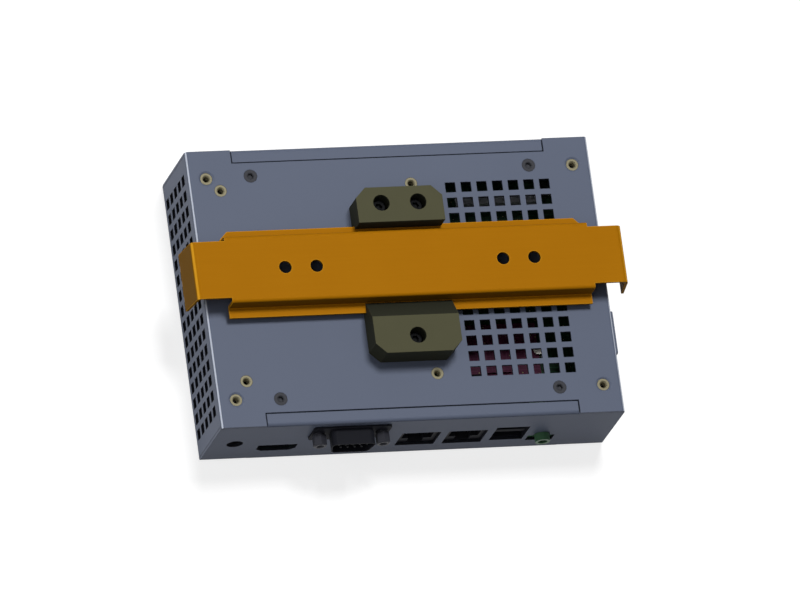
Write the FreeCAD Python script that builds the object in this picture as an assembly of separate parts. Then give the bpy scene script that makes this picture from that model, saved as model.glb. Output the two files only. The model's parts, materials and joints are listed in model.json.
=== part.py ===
"""A fanless industrial PC in a folded sheet-metal case, with a clip and a top-hat rail.

Millimetres. The case lies on its top cover: the origin is the centre of the cover's outer
face, +Z points out of the underside, where the rail is, +X runs along the case's long side,
and the connector panel faces -Y. Each sub-part is one function that returns its solids, and
the table at the end names them.
"""
import FreeCAD, Part
import math
import os
from FreeCAD import Vector

os.makedirs("parts", exist_ok=True)

# ---------------------------------------------------------------- driving dimensions
# case
CASE_LENGTH = 160.0          # X
CASE_DEPTH = 112.2           # Y
CASE_HEIGHT = 36.7           # Z, cover face to underside face
SHEET = 1.0                  # sheet thickness of tray and cover
INSIDE_BEND = 0.4            # inside radius of every fold
SEAM = 0.15                  # clearance between the two folded sheets
WALL_FOOT = 0.3              # the tray's walls stop this far above the bench

# vents: square holes on one pitch, as many as the sheet has room for
VENT_SIDE = 4.0
VENT_PITCH = 6.25
VENT_FROM_INSERTS = 15.35    # from the right-hand mount inserts to the first column
VENT_END_MARGIN = 17.0       # least sheet left at the underside's short edge
VENT_SIDE_MARGIN = 15.0      # least sheet left at the underside's long edges
WALL_VENT_MARGIN = 5.0       # least sheet left at a wall's two ends
WALL_VENT_TOP = 7.2          # from the underside face to the first row's centre
WALL_VENT_FOOT = 2.0         # least height of the last row's lower edge
RIGHT_WALL_FIRST_ROW = 3     # the rows above it give way to the slot cover

# return strips of the cover, their notches in the tray and their hidden screw tabs
STRIP_INSET = 18.3           # from the case's end to the strip's end
STRIP_WIDTH = 5.0
STRIP_GAP = 0.4
STRIP_RECESS = 0.2           # the strip lies this far below the underside face
TAB_WIDTH = 12.0
TAB_GAP = 0.1                # between a tab and the underside sheet
TAB_PAST_SCREW = 4.4
JOGGLE_START = 2.4           # the tab steps down from here, measured from the strip's edge
JOGGLE_RUN = 1.1

# countersunk case screws
SCREW_INSET = (24.7, 10.8)   # from the case's ends and long edges
SCREW_HEAD_RADIUS = 2.7
SCREW_SHANK_RADIUS = 1.45
SCREW_HOLE_RADIUS = 1.6
SCREW_SOCKET = 2.0           # across flats
SCREW_SOCKET_DEPTH = 0.9
CASE_SCREW_LENGTH = 5.0

# brass threaded inserts in the underside
CORNER_INSERT_INSET = (7.2, 11.2)
MOUNT_INSERT_LEFT = 12.15    # from the case's left end to the first pair
MOUNT_INSERT_SPACING = 75.6
MOUNT_INSERT_FRONT = 18.45   # from the connector panel to the front pair
MOUNT_INSERT_BACK = 16.35
INSERT_RADIUS = 2.4
INSERT_THREAD_RADIUS = 1.25
INSERT_LENGTH = 4.0
DIMPLE_DEPTH = 0.4
DIMPLE_RADIUS = 3.1

# top-hat rail
RAIL_CENTRE_Y = 4.2
RAIL_WIDTH = 35.0
RAIL_LIP = 4.0               # each flange, outside the hat
RAIL_DEPTH = 7.5
RAIL_SHEET = 1.0
RAIL_INSIDE_BEND = 0.3
RAIL_FLANGE_INSET = 8.0      # the flanges stop this far inside the case's ends
RAIL_WEB_OVERHANG = 5.3      # the web runs this far past the case's ends
RAIL_TONGUE_INSET = 2.0      # the tongue is this much narrower than the hat on each side
RAIL_FOLD_LENGTH = 13.6
RAIL_FOLD_FLARE = 1.6        # how far each fold leans outwards at its foot
RAIL_FOLD_INSIDE = 1.0
RAIL_HOLE_RADIUS = 2.5
RAIL_HOLE_INSET = 36.8       # from the case's end to the middle of a pair of holes
RAIL_HOLE_PITCH = 12.4
RAIL_CORNER = 3.2            # cut off the back flange's two corners

# clip
CLIP_CENTRE_X = -1.0
CLIP_WIDTH = 34.2
CLIP_BASE = 2.7              # the rail's flanges rest this far off the underside
CLIP_HEIGHT = 10.9
CLIP_BACK_LENGTH = 13.1      # back jaw, outside the rail's edge
CLIP_FRONT_LENGTH = 19.1     # front jaw, outside the rail's edge
CLIP_FRONT_FLAT = 14.9       # flat top of the front jaw; the ramp follows it
CLIP_BACK_GRIP = 1.0         # how far the back jaw reaches over the flange
CLIP_FRONT_GRIP = 3.5
CLIP_TIP = 0.6               # thickness of the ramp's tip
GRIP_CLEARANCE = 0.15
CLIP_CORNER = 4.0
CLIP_HOLE_SPREAD = 14.6      # between the two screws of the back jaw
CLIP_BACK_HOLE = 6.7         # from the rail's edge
CLIP_FRONT_HOLE = 12.3
CLIP_COUNTERBORE_RADIUS = 3.25
CLIP_SCREW_SEAT = 3.4        # height of the screw heads' seat above the underside
CLIP_SCREW_HEAD = (2.75, 3.0)  # radius, height
CLIP_SCREW_SOCKET = 2.5
CLIP_SCREW_SOCKET_DEPTH = 1.6
NUT = (5.5, 2.4)             # across flats, height

# main board, carried by studs inside the cover
BOARD_SIDE_GAP = 7.0         # from the case's ends
BOARD_FRONT_GAP = 0.3        # from the connector panel's inner face
BOARD_BACK_GAP = 5.9         # from the back wall's inner face
BOARD_SHEET = 1.6
BOARD_LIFT = 5.4             # above the cover's inner face
BOARD_HOLE_SIDE = 4.0        # holes from the board's ends, front edge and back edge
BOARD_HOLE_FRONT = 6.8
BOARD_HOLE_BACK = 4.2
STANDOFF = 5.0               # across flats

# cooling: processor under the board, pad, spreader against the cover
PROCESSOR_AT = (84.0, 48.0)
PROCESSOR_SIZE = (31.0, 24.0)
PROCESSOR_DIE = (14.0, 11.0)
PROCESSOR_HEIGHT = 1.6
THERMAL_PAD_SIZE = (20.0, 16.0)
THERMAL_PAD_HEIGHT = 0.5
SPREADER_SIZE = (86.0, 64.0)

# cards on the board's upper face; places are (from the case's left end, from the board's front)
MEMORY_AT = (112.0, 58.6)
MEMORY_SIZE = (67.6, 30.0)
MEMORY_CHIP = (11.0, 12.0)
MEMORY_CHIP_PITCH = 15.5
MEMORY_CHIP_HEIGHT = 1.1
MEMORY_SHEET = 1.0
MEMORY_LIFT = 2.2
MEMORY_PLUG = 3.0            # how deep the card sits in its socket
MEMORY_SOCKET_DEPTH = 6.0
MEMORY_SOCKET_HEIGHT = 4.0
MEMORY_ARM = (2.6, 18.0, 3.4)
CARD_SHEET = 0.8
CARD_LIFT = 3.0
CARD_CHIP_HEIGHT = 1.2
CARD_NOTCH_RADIUS = 1.6
CARD_SOCKET = (6.8, 24.0, 5.0)
CARD_PLUG = 1.2              # how deep a card sits in its socket
CARD_POST = 5.0              # hexagon across flats
CARD_BOLT_HEAD = (4.5, 1.2)  # hexagon across flats, height
CARD_BOLT_NECK = 2.6         # across flats, where it stands in the card's notch
WIRELESS_AT = (106.5, 33.8)
WIRELESS_SIZE = (30.0, 22.0)
WIRELESS_CHIPS = ((12.0, -3.0, 12.0, 12.0), (23.0, 5.5, 4.0, 4.0))
STORAGE_AT = (14.0, 62.8)
STORAGE_SIZE = (42.0, 22.0)
STORAGE_CHIPS = ((11.0, 0.0, 10.0, 12.0), (28.0, 0.0, 14.0, 18.0))

# small parts on the board
COIN_CELL_AT = (41.0, 37.8)
COIN_CELL_RADIUS = 10.0
COIN_CELL_HEIGHT = 3.2
COIN_BASE = (20.6, 16.0, 1.0)
COIN_STRAP = (5.0, 0.4)
INDUCTOR = (7.0, 7.0, 4.0)   # length, width, height
INDUCTOR_PLACES = ((16.0, 26.8), (16.0, 35.8), (16.0, 44.8), (26.0, 26.8))
CAPACITOR = (3.15, 5.8)      # radius, height
CAPACITOR_PLACES = ((25.5, 35.8), (25.5, 43.8))
EXPANSION_HEADER_AT = (128.5, 95.8)
EXPANSION_HEADER = (31.0, 5.0, 6.0)   # length, width, height
EXPANSION_MOUTH = (28.6, 3.0, 4.6)    # the same, inside the shroud
CHIP_HEIGHT = 1.1
CHIPS = ((82.95, 28.8, 8.0), (94.0, 33.0, 10.0), (60.0, 38.8, 14.0), (132.0, 22.0, 6.0))

# connectors: X from the case's left end
OPENING_GAP = 0.25           # clearance round what passes through the panel
POWER_JACK_X = 9.7
POWER_JACK_Z = 17.7
POWER_JACK_RADIUS = 3.2
POWER_JACK_BODY = (10.0, 9.6, 11.0)   # width, height, length behind the panel
POWER_JACK_BORE = (2.85, 9.5)         # radius, depth
POWER_JACK_PIN = (1.05, 1.0)          # radius, set back from the panel
POWER_JACK_TAIL = (7.0, 5.0, 3.0)     # width, height, length
HDMI_X = 27.6
HDMI_LIFT = 3.7              # middle of the mouth above the board
HDMI_OPENING = (15.0, 5.6)   # width, height
HDMI_CHAMFER = (2.2, 2.0)    # along the width, along the height
HDMI_SHEET = 0.35
HDMI_DEPTH = 11.5
HDMI_TONGUE = (12.0, 0.9)    # width, thickness
SERIAL_X = 53.0
SERIAL_DROP = 9.7            # middle of the port below the underside face
SERIAL_FLANGE = (30.8, 12.5)   # width, height
SERIAL_FLANGE_SHEET = 0.8
SERIAL_FLANGE_CORNER = 1.5
SERIAL_SHELL = (17.9, 9.4)   # width of the D's long side, height
SERIAL_SHELL_CORNER = 2.2
SERIAL_SLOPE = 10.0          # degrees, each end of the D
SERIAL_WALL = 0.5
SERIAL_REACH = 6.0
SERIAL_SCREW_SPACING = 25.0
SERIAL_BODY_DEPTH = 8.0
SERIAL_PIN = (0.9, 5.3)      # across flats, length in front of the body
SERIAL_PIN_PITCH = 2.77
SERIAL_ROW_PITCH = 2.84
JACKSCREW = (4.8, 5.0)       # across flats, length in front of the flange
JACKSCREW_THREAD = (1.2, 4.0)  # radius, depth
JACKSCREW_NUT = (5.0, 2.0)   # across flats, height
SERIAL_HEADER_AT = (53.0, 19.8)
SERIAL_HEADER = (20.0, 9.0, 6.0)   # length, width, height
SERIAL_PLUG = (17.2, 6.0, 1.0)
RIBBON = (12.7, 0.9)         # width, thickness
RIBBON_BEND = 3.5
POWER_HEADER_AT = (9.7, 21.8)
POWER_HEADER = (4.4, 6.6, 5.0)
POWER_LEAD = (4.0, 1.8)      # width, thickness
POWER_LEAD_BEND = 2.4
LAN_X = (82.95, 101.65)
LAN_OPENING = (15.4, 13.2)   # width, height in the panel
LAN_CAN = (15.9, 13.9, 21.3)   # width, height, depth
LAN_SHEET = 0.3
LAN_MOUTH = (11.9, 7.0, 13.0)
LAN_MOUTH_LIFT = 0.9         # mouth's middle above the can's
LAN_LATCH = (6.0, 3.5, 9.0)
LAN_CONTACTS = 8
LAN_CONTACT_PITCH = 1.02
LAN_CONTACT_WIDTH = 0.3
LAN_CONTACT_RUN = (3.0, 11.0)  # first and last depth behind the mouth
LAN_CONTACT_DROP = 2.6
USB_X = 119.05
USB_LIFT = 8.55
USB_OPENING = (13.1, 13.7)   # width, height in the panel
USB_CAN = (14.4, 15.6, 17.4)   # width, height, depth
USB_SLOT = (12.5, 5.1, 12.0)
USB_SLOT_PITCH = 7.4
USB_TONGUE = (10.9, 1.8, 9.5)
USB_TONGUE_LIFT = 1.0
USB_TONGUE_FOOT = 1.5
AUDIO_X = 132.6
AUDIO_LIFT = 5.6
AUDIO_NOSE_RADIUS = 2.9
AUDIO_NOSE_REACH = 3.0
AUDIO_BORE = (1.8, 11.0)     # radius, depth behind the panel
AUDIO_BODY = (10.8, 13.0, 9.8)   # width, depth, height
AUDIO_SLOT = (10.6, 5.0)     # width, height in the panel

# small plate over a slot in the right wall
SLOT_COVER_LENGTH = 17.4
SLOT_COVER_HEIGHT = 10.0
SLOT_COVER_SHEET = 1.2
SLOT_COVER_CORNER = 1.0
SLOT_COVER_CENTRE_Y = -23.0
SLOT_COVER_TOP = 2.6         # below the underside face
SLOT_COVER_LAND = (3.5, 2.0) # the plate covers its slot's ends and long sides by this much
SLOT_COVER_PLAY = 0.2

# ---------------------------------------------------------------- derived places
HALF_LENGTH = CASE_LENGTH / 2
HALF_DEPTH = CASE_DEPTH / 2
OUTSIDE_BEND = INSIDE_BEND + SHEET
UNDERSIDE_INNER = CASE_HEIGHT - SHEET
PANEL_INNER_Y = -HALF_DEPTH + SHEET
CONNECTOR_Y = PANEL_INNER_Y + OPENING_GAP       # front face of the board's connectors
WALL_END = HALF_DEPTH - SHEET - SEAM
STRIP_INNER_Y = HALF_DEPTH - STRIP_WIDTH
STRIP_TOP = CASE_HEIGHT - STRIP_RECESS
STRIP_END = HALF_LENGTH - STRIP_INSET
TAB_TOP = UNDERSIDE_INNER - TAB_GAP
SCREW_HEAD_DEPTH = SCREW_HEAD_RADIUS - SCREW_SHANK_RADIUS
BOARD_UNDER = SHEET + BOARD_LIFT
BOARD_TOP = BOARD_UNDER + BOARD_SHEET
BOARD_END = HALF_LENGTH - BOARD_SIDE_GAP
BOARD_FRONT_Y = PANEL_INNER_Y + BOARD_FRONT_GAP
BOARD_BACK_Y = HALF_DEPTH - SHEET - BOARD_BACK_GAP
RAIL_FLANGE_UNDER = CASE_HEIGHT + CLIP_BASE
RAIL_FLANGE_TOP = RAIL_FLANGE_UNDER + RAIL_SHEET
RAIL_WEB_TOP = RAIL_FLANGE_UNDER + RAIL_DEPTH
RAIL_BACK_Y = RAIL_CENTRE_Y + RAIL_WIDTH / 2
RAIL_FRONT_Y = RAIL_CENTRE_Y - RAIL_WIDTH / 2
CLIP_TOP = CASE_HEIGHT + CLIP_HEIGHT
CLIP_SEAT_Z = CASE_HEIGHT + CLIP_SCREW_SEAT
SERIAL_Z = CASE_HEIGHT - SERIAL_DROP
SERIAL_FACE_Y = -HALF_DEPTH - SERIAL_FLANGE_SHEET
LAN_Z = BOARD_TOP + LAN_CAN[1] / 2
USB_Z = BOARD_TOP + USB_LIFT
HDMI_Z = BOARD_TOP + HDMI_LIFT
AUDIO_Z = BOARD_TOP + AUDIO_LIFT

FOUR_SIGNS = ((1, 1), (-1, 1), (-1, -1), (1, -1))


def at_corners(inset):
    """Four places in from the case's corners."""
    return [(sx * (HALF_LENGTH - inset[0]), sy * (HALF_DEPTH - inset[1])) for sx, sy in FOUR_SIGNS]


def from_left(distance):
    """X of a point measured from the case's left end."""
    return distance - HALF_LENGTH


def on_board(place):
    """X and Y of a place measured from the case's left end and the board's front edge."""
    return from_left(place[0]), BOARD_FRONT_Y + place[1]


CASE_SCREW_PLACES = at_corners(SCREW_INSET)
CORNER_INSERT_PLACES = at_corners(CORNER_INSERT_INSET)
MOUNT_INSERT_PLACES = [(from_left(MOUNT_INSERT_LEFT + step * MOUNT_INSERT_SPACING), y)
                       for step in (0, 1)
                       for y in (MOUNT_INSERT_FRONT - HALF_DEPTH, HALF_DEPTH - MOUNT_INSERT_BACK)]
CLIP_HOLES = [(CLIP_CENTRE_X - CLIP_HOLE_SPREAD / 2, RAIL_BACK_Y + CLIP_BACK_HOLE),
              (CLIP_CENTRE_X + CLIP_HOLE_SPREAD / 2, RAIL_BACK_Y + CLIP_BACK_HOLE),
              (CLIP_CENTRE_X, RAIL_FRONT_Y - CLIP_FRONT_HOLE)]
BOARD_HOLE_PLACES = [(side * (BOARD_END - BOARD_HOLE_SIDE), y) for side in (1, -1)
                     for y in (BOARD_FRONT_Y + BOARD_HOLE_FRONT, BOARD_BACK_Y - BOARD_HOLE_BACK)]
JACKSCREW_PLACES = [from_left(SERIAL_X) + side * SERIAL_SCREW_SPACING / 2 for side in (-1, 1)]


# ---------------------------------------------------------------- shape helpers
def block(x0, x1, y0, y1, z0, z1):
    """A box between two corners."""
    return Part.makeBox(x1 - x0, y1 - y0, z1 - z0, Vector(x0, y0, z0))


def standing_block(x, y, size, z0, z1):
    """A box on the board, centred on (x, y)."""
    return block(x - size[0] / 2, x + size[0] / 2, y - size[1] / 2, y + size[1] / 2, z0, z1)


def panel_block(x, z, size, y0, y1):
    """A box that runs back from the connector panel, centred on (x, z)."""
    return block(x - size[0] / 2, x + size[0] / 2, y0, y1, z - size[1] / 2, z + size[1] / 2)


def round_bar(radius, x, y, z0, z1):
    """A cylinder along Z."""
    return Part.makeCylinder(radius, z1 - z0, Vector(x, y, z0))


def round_bar_y(radius, x, z, y0, y1):
    """A cylinder along Y."""
    return Part.makeCylinder(radius, y1 - y0, Vector(x, y0, z), Vector(0, 1, 0))


def outline_face(points, radii):
    """A flat face from an outline, with the corners that have a radius rounded by an arc."""
    count = len(points)
    edges = []
    stops = []
    for index, corner in enumerate(points):
        radius = radii.get(index, 0.0)
        if radius == 0.0:
            stops.append((corner, corner))
            continue
        back = (points[index - 1] - corner).normalize()
        ahead = (points[(index + 1) % count] - corner).normalize()
        half_angle = back.getAngle(ahead) / 2
        setback = radius / math.tan(half_angle)
        start = corner + back * setback
        end = corner + ahead * setback
        bisector = (back + ahead).normalize()
        middle = corner + bisector * (radius / math.sin(half_angle) - radius)
        edges.append(Part.Arc(start, middle, end).toShape())
        stops.append((start, end))
    for index in range(count):
        start = stops[index][1]
        end = stops[(index + 1) % count][0]
        if start.distanceToPoint(end) > 1e-7:
            edges.append(Part.LineSegment(start, end).toShape())
    return Part.Face(Part.Wire(Part.sortEdges(edges)[0]))


def prism_x(outline, x0, x1, radii={}):
    """An outline of (y, z) points drawn out along X; radii maps a point's index to its radius."""
    points = [Vector(x0, y, z) for y, z in outline]
    return outline_face(points, radii).extrude(Vector(x1 - x0, 0, 0))


def prism_y(outline, y0, y1, radii={}):
    """An outline of (x, z) points drawn out along Y."""
    points = [Vector(x, y0, z) for x, z in outline]
    return outline_face(points, radii).extrude(Vector(0, y1 - y0, 0))


def prism_z(outline, z0, z1, radii={}):
    """An outline of (x, y) points drawn out along Z."""
    points = [Vector(x, y, z0) for x, y in outline]
    return outline_face(points, radii).extrude(Vector(0, 0, z1 - z0))


def hexagon(across_flats, u, v, turn=0):
    """The corners of a hexagon round (u, v), turned by some degrees."""
    corner = across_flats / math.sqrt(3)
    angles = [math.radians(60 * step + turn) for step in range(6)]
    return [(u + corner * math.cos(angle), v + corner * math.sin(angle)) for angle in angles]


def rectangle(u0, u1, v0, v1):
    """The corners of a rectangle, for a prism."""
    return [(u0, v0), (u1, v0), (u1, v1), (u0, v1)]


def all_corners(radius, count=4):
    """The same radius at every corner of an outline."""
    return {index: radius for index in range(count)}


def joined(solids):
    """One solid from touching or overlapping ones, without leftover seams."""
    return solids[0].fuse(solids[1:]).removeSplitter()


def screw_seat(x, y):
    """The cutter for a countersunk case screw: its head lies flush with the underside."""
    cone = Part.makeCone(SCREW_HEAD_RADIUS, SCREW_SHANK_RADIUS, SCREW_HEAD_DEPTH,
                         Vector(x, y, CASE_HEIGHT), Vector(0, 0, -1))
    hole = round_bar(SCREW_HOLE_RADIUS, x, y, CASE_HEIGHT - CASE_SCREW_LENGTH, CASE_HEIGHT)
    return cone.fuse(hole)


# ---------------------------------------------------------------- case
def vent_steps(room):
    """How many whole vent pitches fit in a length."""
    return int(room // VENT_PITCH)


def underside_vents():
    """Square vents to the right of the clip, in two blocks that leave out what the rail covers."""
    half = VENT_SIDE / 2
    first_x = from_left(MOUNT_INSERT_LEFT + MOUNT_INSERT_SPACING + VENT_FROM_INSERTS)
    columns = vent_steps(HALF_LENGTH - VENT_END_MARGIN - half - first_x) + 1
    rows_each_side = vent_steps(HALF_DEPTH - VENT_SIDE_MARGIN - half)
    rows = [row * VENT_PITCH for row in range(-rows_each_side, rows_each_side + 1)]
    open_rows = [y for y in rows if y - half < RAIL_FRONT_Y or y + half > RAIL_BACK_Y]
    cutters = []
    for column in range(columns):
        x = first_x + column * VENT_PITCH
        for y in open_rows:
            cutters.append(block(x - half, x + half, y - half, y + half,
                                 UNDERSIDE_INNER - SHEET, CASE_HEIGHT + SHEET))
    return cutters


def wall_vents(side, first_row):
    """Rows of square vents through a short wall, from first_row down."""
    half = VENT_SIDE / 2
    steps = vent_steps(2 * (WALL_END - WALL_VENT_MARGIN - half))
    top_z = CASE_HEIGHT - WALL_VENT_TOP
    rows = vent_steps(top_z - half - WALL_VENT_FOOT) + 1
    x0, x1 = sorted((side * (HALF_LENGTH - 2 * SHEET), side * (HALF_LENGTH + SHEET)))
    cutters = []
    for step in range(steps + 1):
        y = (step - steps / 2) * VENT_PITCH
        for row in range(first_row, rows):
            z = top_z - row * VENT_PITCH
            cutters.append(block(x0, x1, y - half, y + half, z - half, z + half))
    return cutters


def slot_cover_limits(land=(0.0, 0.0)):
    """The slot cover's limits in Y and Z, less a land at its ends and its long sides."""
    half = SLOT_COVER_LENGTH / 2 - land[0]
    top = CASE_HEIGHT - SLOT_COVER_TOP
    return (SLOT_COVER_CENTRE_Y - half, SLOT_COVER_CENTRE_Y + half,
            top - SLOT_COVER_HEIGHT + land[1], top - land[1])


def bottom_tray():
    """The underside sheet and both short walls, folded as one channel."""
    x, top, inner = HALF_LENGTH, CASE_HEIGHT, UNDERSIDE_INNER
    channel = prism_y([(-x, WALL_FOOT), (-x, top), (x, top), (x, WALL_FOOT),
                       (x - SHEET, WALL_FOOT), (x - SHEET, inner),
                       (-x + SHEET, inner), (-x + SHEET, WALL_FOOT)],
                      -HALF_DEPTH, HALF_DEPTH,
                      {1: OUTSIDE_BEND, 2: OUTSIDE_BEND, 5: INSIDE_BEND, 6: INSIDE_BEND})
    cutters = underside_vents() + wall_vents(-1, 0) + wall_vents(1, RIGHT_WALL_FIRST_ROW)
    for end in (-1, 1):
        y0, y1 = sorted((end * WALL_END, end * (HALF_DEPTH + 1)))
        for side in (-1, 1):
            x0, x1 = sorted((side * (x - SHEET * 2), side * (x + 1)))
            cutters.append(block(x0, x1, y0, y1, 0, top - OUTSIDE_BEND))
        y0, y1 = sorted((end * (STRIP_INNER_Y - STRIP_GAP), end * (HALF_DEPTH + 1)))
        notch = STRIP_END + STRIP_GAP
        cutters.append(block(-notch, notch, y0, y1, inner - SHEET, top + 1))
    for px, py in CASE_SCREW_PLACES:
        cutters.append(screw_seat(px, py))
    for px, py in CORNER_INSERT_PLACES:
        cutters.append(Part.makeCone(DIMPLE_RADIUS, INSERT_RADIUS, DIMPLE_DEPTH,
                                     Vector(px, py, top), Vector(0, 0, -1)))
    for px, py in CORNER_INSERT_PLACES + MOUNT_INSERT_PLACES:
        cutters.append(round_bar(INSERT_RADIUS, px, py, inner - 1, top + 1))
    for px, py in CLIP_HOLES:
        cutters.append(round_bar(SCREW_HOLE_RADIUS, px, py, inner - 1, top + 1))
    cutters.append(block(x - 2 * SHEET, x + SHEET, *slot_cover_limits(SLOT_COVER_LAND)))
    return [channel.cut(cutters)]


def return_strip():
    """The front strip of the cover with the two stepped tabs that its screws hold."""
    outer_y = -HALF_DEPTH
    inner_y = -STRIP_INNER_Y
    under = STRIP_TOP - SHEET
    strip = prism_x([(outer_y, SHEET), (outer_y, STRIP_TOP), (inner_y, STRIP_TOP), (inner_y, under),
                     (outer_y + SHEET, under), (outer_y + SHEET, SHEET)],
                    -STRIP_END, STRIP_END, {1: OUTSIDE_BEND, 4: INSIDE_BEND})
    pieces = [strip]
    step_y = inner_y - JOGGLE_START
    end_y = outer_y + SCREW_INSET[1] + TAB_PAST_SCREW
    section = [(step_y, under), (step_y + JOGGLE_RUN, TAB_TOP - SHEET), (end_y, TAB_TOP - SHEET),
               (end_y, TAB_TOP), (inner_y, TAB_TOP), (inner_y, under + SHEET / 2),
               (step_y, under + SHEET / 2)]
    for x, y in CASE_SCREW_PLACES:
        if y < 0:
            tab = prism_x(section, x - TAB_WIDTH / 2, x + TAB_WIDTH / 2)
            pieces.append(tab.cut(screw_seat(x, y)))
    return joined(pieces)


def hdmi_outline(grow=0.0):
    """The HDMI mouth: a box with its two corners near the board cut off."""
    x = from_left(HDMI_X)
    w = HDMI_OPENING[0] / 2 + grow
    h = HDMI_OPENING[1] / 2 + grow
    return [(x - w, HDMI_Z + h), (x + w, HDMI_Z + h), (x + w, HDMI_Z - h + HDMI_CHAMFER[1]),
            (x + w - HDMI_CHAMFER[0], HDMI_Z - h), (x - w + HDMI_CHAMFER[0], HDMI_Z - h),
            (x - w, HDMI_Z - h + HDMI_CHAMFER[1])]


def d_outline(grow=0.0):
    """The D-shaped serial mouth, narrower towards the board."""
    x = from_left(SERIAL_X)
    w = SERIAL_SHELL[0] / 2 + grow
    h = SERIAL_SHELL[1] / 2 + grow
    slope = 2 * h * math.tan(math.radians(SERIAL_SLOPE))
    return [(x - w, SERIAL_Z + h), (x + w, SERIAL_Z + h),
            (x + w - slope, SERIAL_Z - h), (x - w + slope, SERIAL_Z - h)]


def panel_cutters():
    """Openings in the connector panel."""
    y0, y1 = -HALF_DEPTH - 1, PANEL_INNER_Y + 1
    audio_x = from_left(AUDIO_X)
    cutters = [
        round_bar_y(POWER_JACK_RADIUS, from_left(POWER_JACK_X), POWER_JACK_Z, y0, y1),
        prism_y(hdmi_outline(OPENING_GAP), y0, y1),
        prism_y(d_outline(OPENING_GAP), y0, y1, all_corners(SERIAL_SHELL_CORNER)),
        panel_block(from_left(USB_X), USB_Z, USB_OPENING, y0, y1),
        round_bar_y(AUDIO_NOSE_RADIUS + OPENING_GAP, audio_x, AUDIO_Z, y0, y1),
        panel_block(audio_x, BOARD_TOP + AUDIO_SLOT[1] / 2, AUDIO_SLOT, y0, y1)]
    for x in LAN_X:
        cutters.append(panel_block(from_left(x), LAN_Z, LAN_OPENING, y0, y1))
    for x in JACKSCREW_PLACES:
        cutters.append(round_bar_y(SCREW_HOLE_RADIUS, x, SERIAL_Z, y0, y1))
    return cutters


def top_cover():
    """The cover: top sheet, connector panel, back wall and their return strips."""
    x, y = HALF_LENGTH, HALF_DEPTH
    wall_top = UNDERSIDE_INNER - SEAM
    trough = prism_x([(-y, wall_top), (-y, 0), (y, 0), (y, wall_top), (y - SHEET, wall_top),
                      (y - SHEET, SHEET), (-y + SHEET, SHEET), (-y + SHEET, wall_top)],
                     -x, x, {1: OUTSIDE_BEND, 2: OUTSIDE_BEND, 5: INSIDE_BEND, 6: INSIDE_BEND})
    inset = x - SHEET - SEAM
    cutters = []
    for side in (-1, 1):
        x0, x1 = sorted((side * inset, side * (x + 1)))
        cutters.append(block(x0, x1, -y + SHEET, y - SHEET, -1, wall_top + 1))
        cutters.append(block(x0, x1, -y - 1, y + 1, CASE_HEIGHT - OUTSIDE_BEND - SEAM, CASE_HEIGHT))
    strip = return_strip()
    back_strip = strip.mirror(Vector(0, 0, 0), Vector(0, 1, 0))
    body = joined([trough.cut(cutters), strip, back_strip])
    return [body.cut(panel_cutters())]


def threaded_insert(x, y, face_z):
    """A brass press-in nut with an open thread."""
    body = round_bar(INSERT_RADIUS, x, y, face_z - INSERT_LENGTH, face_z)
    thread = round_bar(INSERT_THREAD_RADIUS, x, y, face_z - INSERT_LENGTH - 1, face_z + 1)
    return body.cut(thread)


def mount_inserts():
    return [threaded_insert(x, y, CASE_HEIGHT) for x, y in MOUNT_INSERT_PLACES]


def corner_inserts():
    return [threaded_insert(x, y, CASE_HEIGHT - DIMPLE_DEPTH) for x, y in CORNER_INSERT_PLACES]


def case_screws():
    """Countersunk screws with a hexagon socket."""
    screws = []
    for x, y in CASE_SCREW_PLACES:
        down = Vector(0, 0, -1)
        head = Part.makeCone(SCREW_HEAD_RADIUS, SCREW_SHANK_RADIUS, SCREW_HEAD_DEPTH,
                             Vector(x, y, CASE_HEIGHT), down)
        shank = round_bar(SCREW_SHANK_RADIUS, x, y, CASE_HEIGHT - CASE_SCREW_LENGTH,
                          CASE_HEIGHT - SCREW_HEAD_DEPTH)
        socket = prism_z(hexagon(SCREW_SOCKET, x, y), CASE_HEIGHT - SCREW_SOCKET_DEPTH, CASE_HEIGHT + 1)
        screws.append(head.fuse(shank).cut(socket))
    return screws


def side_slot_cover():
    """A small plate on the outside of the right wall, with a plug that fills its slot."""
    plate = prism_x(rectangle(*slot_cover_limits()), HALF_LENGTH, HALF_LENGTH + SLOT_COVER_SHEET,
                    all_corners(SLOT_COVER_CORNER))
    land = [width + SLOT_COVER_PLAY for width in SLOT_COVER_LAND]
    plug = block(HALF_LENGTH - SHEET, HALF_LENGTH, *slot_cover_limits(land))
    return [joined([plate, plug])]


# ---------------------------------------------------------------- rail and clip
def hat_section():
    """The rail's section with its bend radii: flanges at the bottom, web on top."""
    edge = RAIL_WIDTH / 2
    hat = edge - RAIL_LIP
    inner = hat - RAIL_SHEET
    foot, web = RAIL_FLANGE_UNDER, RAIL_WEB_TOP
    back_half = [(edge, foot), (edge, RAIL_FLANGE_TOP), (hat, RAIL_FLANGE_TOP), (hat, web)]
    front_half = [(-y, z) for y, z in reversed(back_half)]
    inside = [(-inner, foot), (-inner, web - RAIL_SHEET), (inner, web - RAIL_SHEET), (inner, foot)]
    outline = [(RAIL_CENTRE_Y + y, z) for y, z in back_half + front_half + inside]
    tight, wide = RAIL_INSIDE_BEND, RAIL_INSIDE_BEND + RAIL_SHEET
    return outline, {2: tight, 3: wide, 4: wide, 5: tight, 8: wide, 9: tight, 10: tight, 11: wide}


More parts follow.
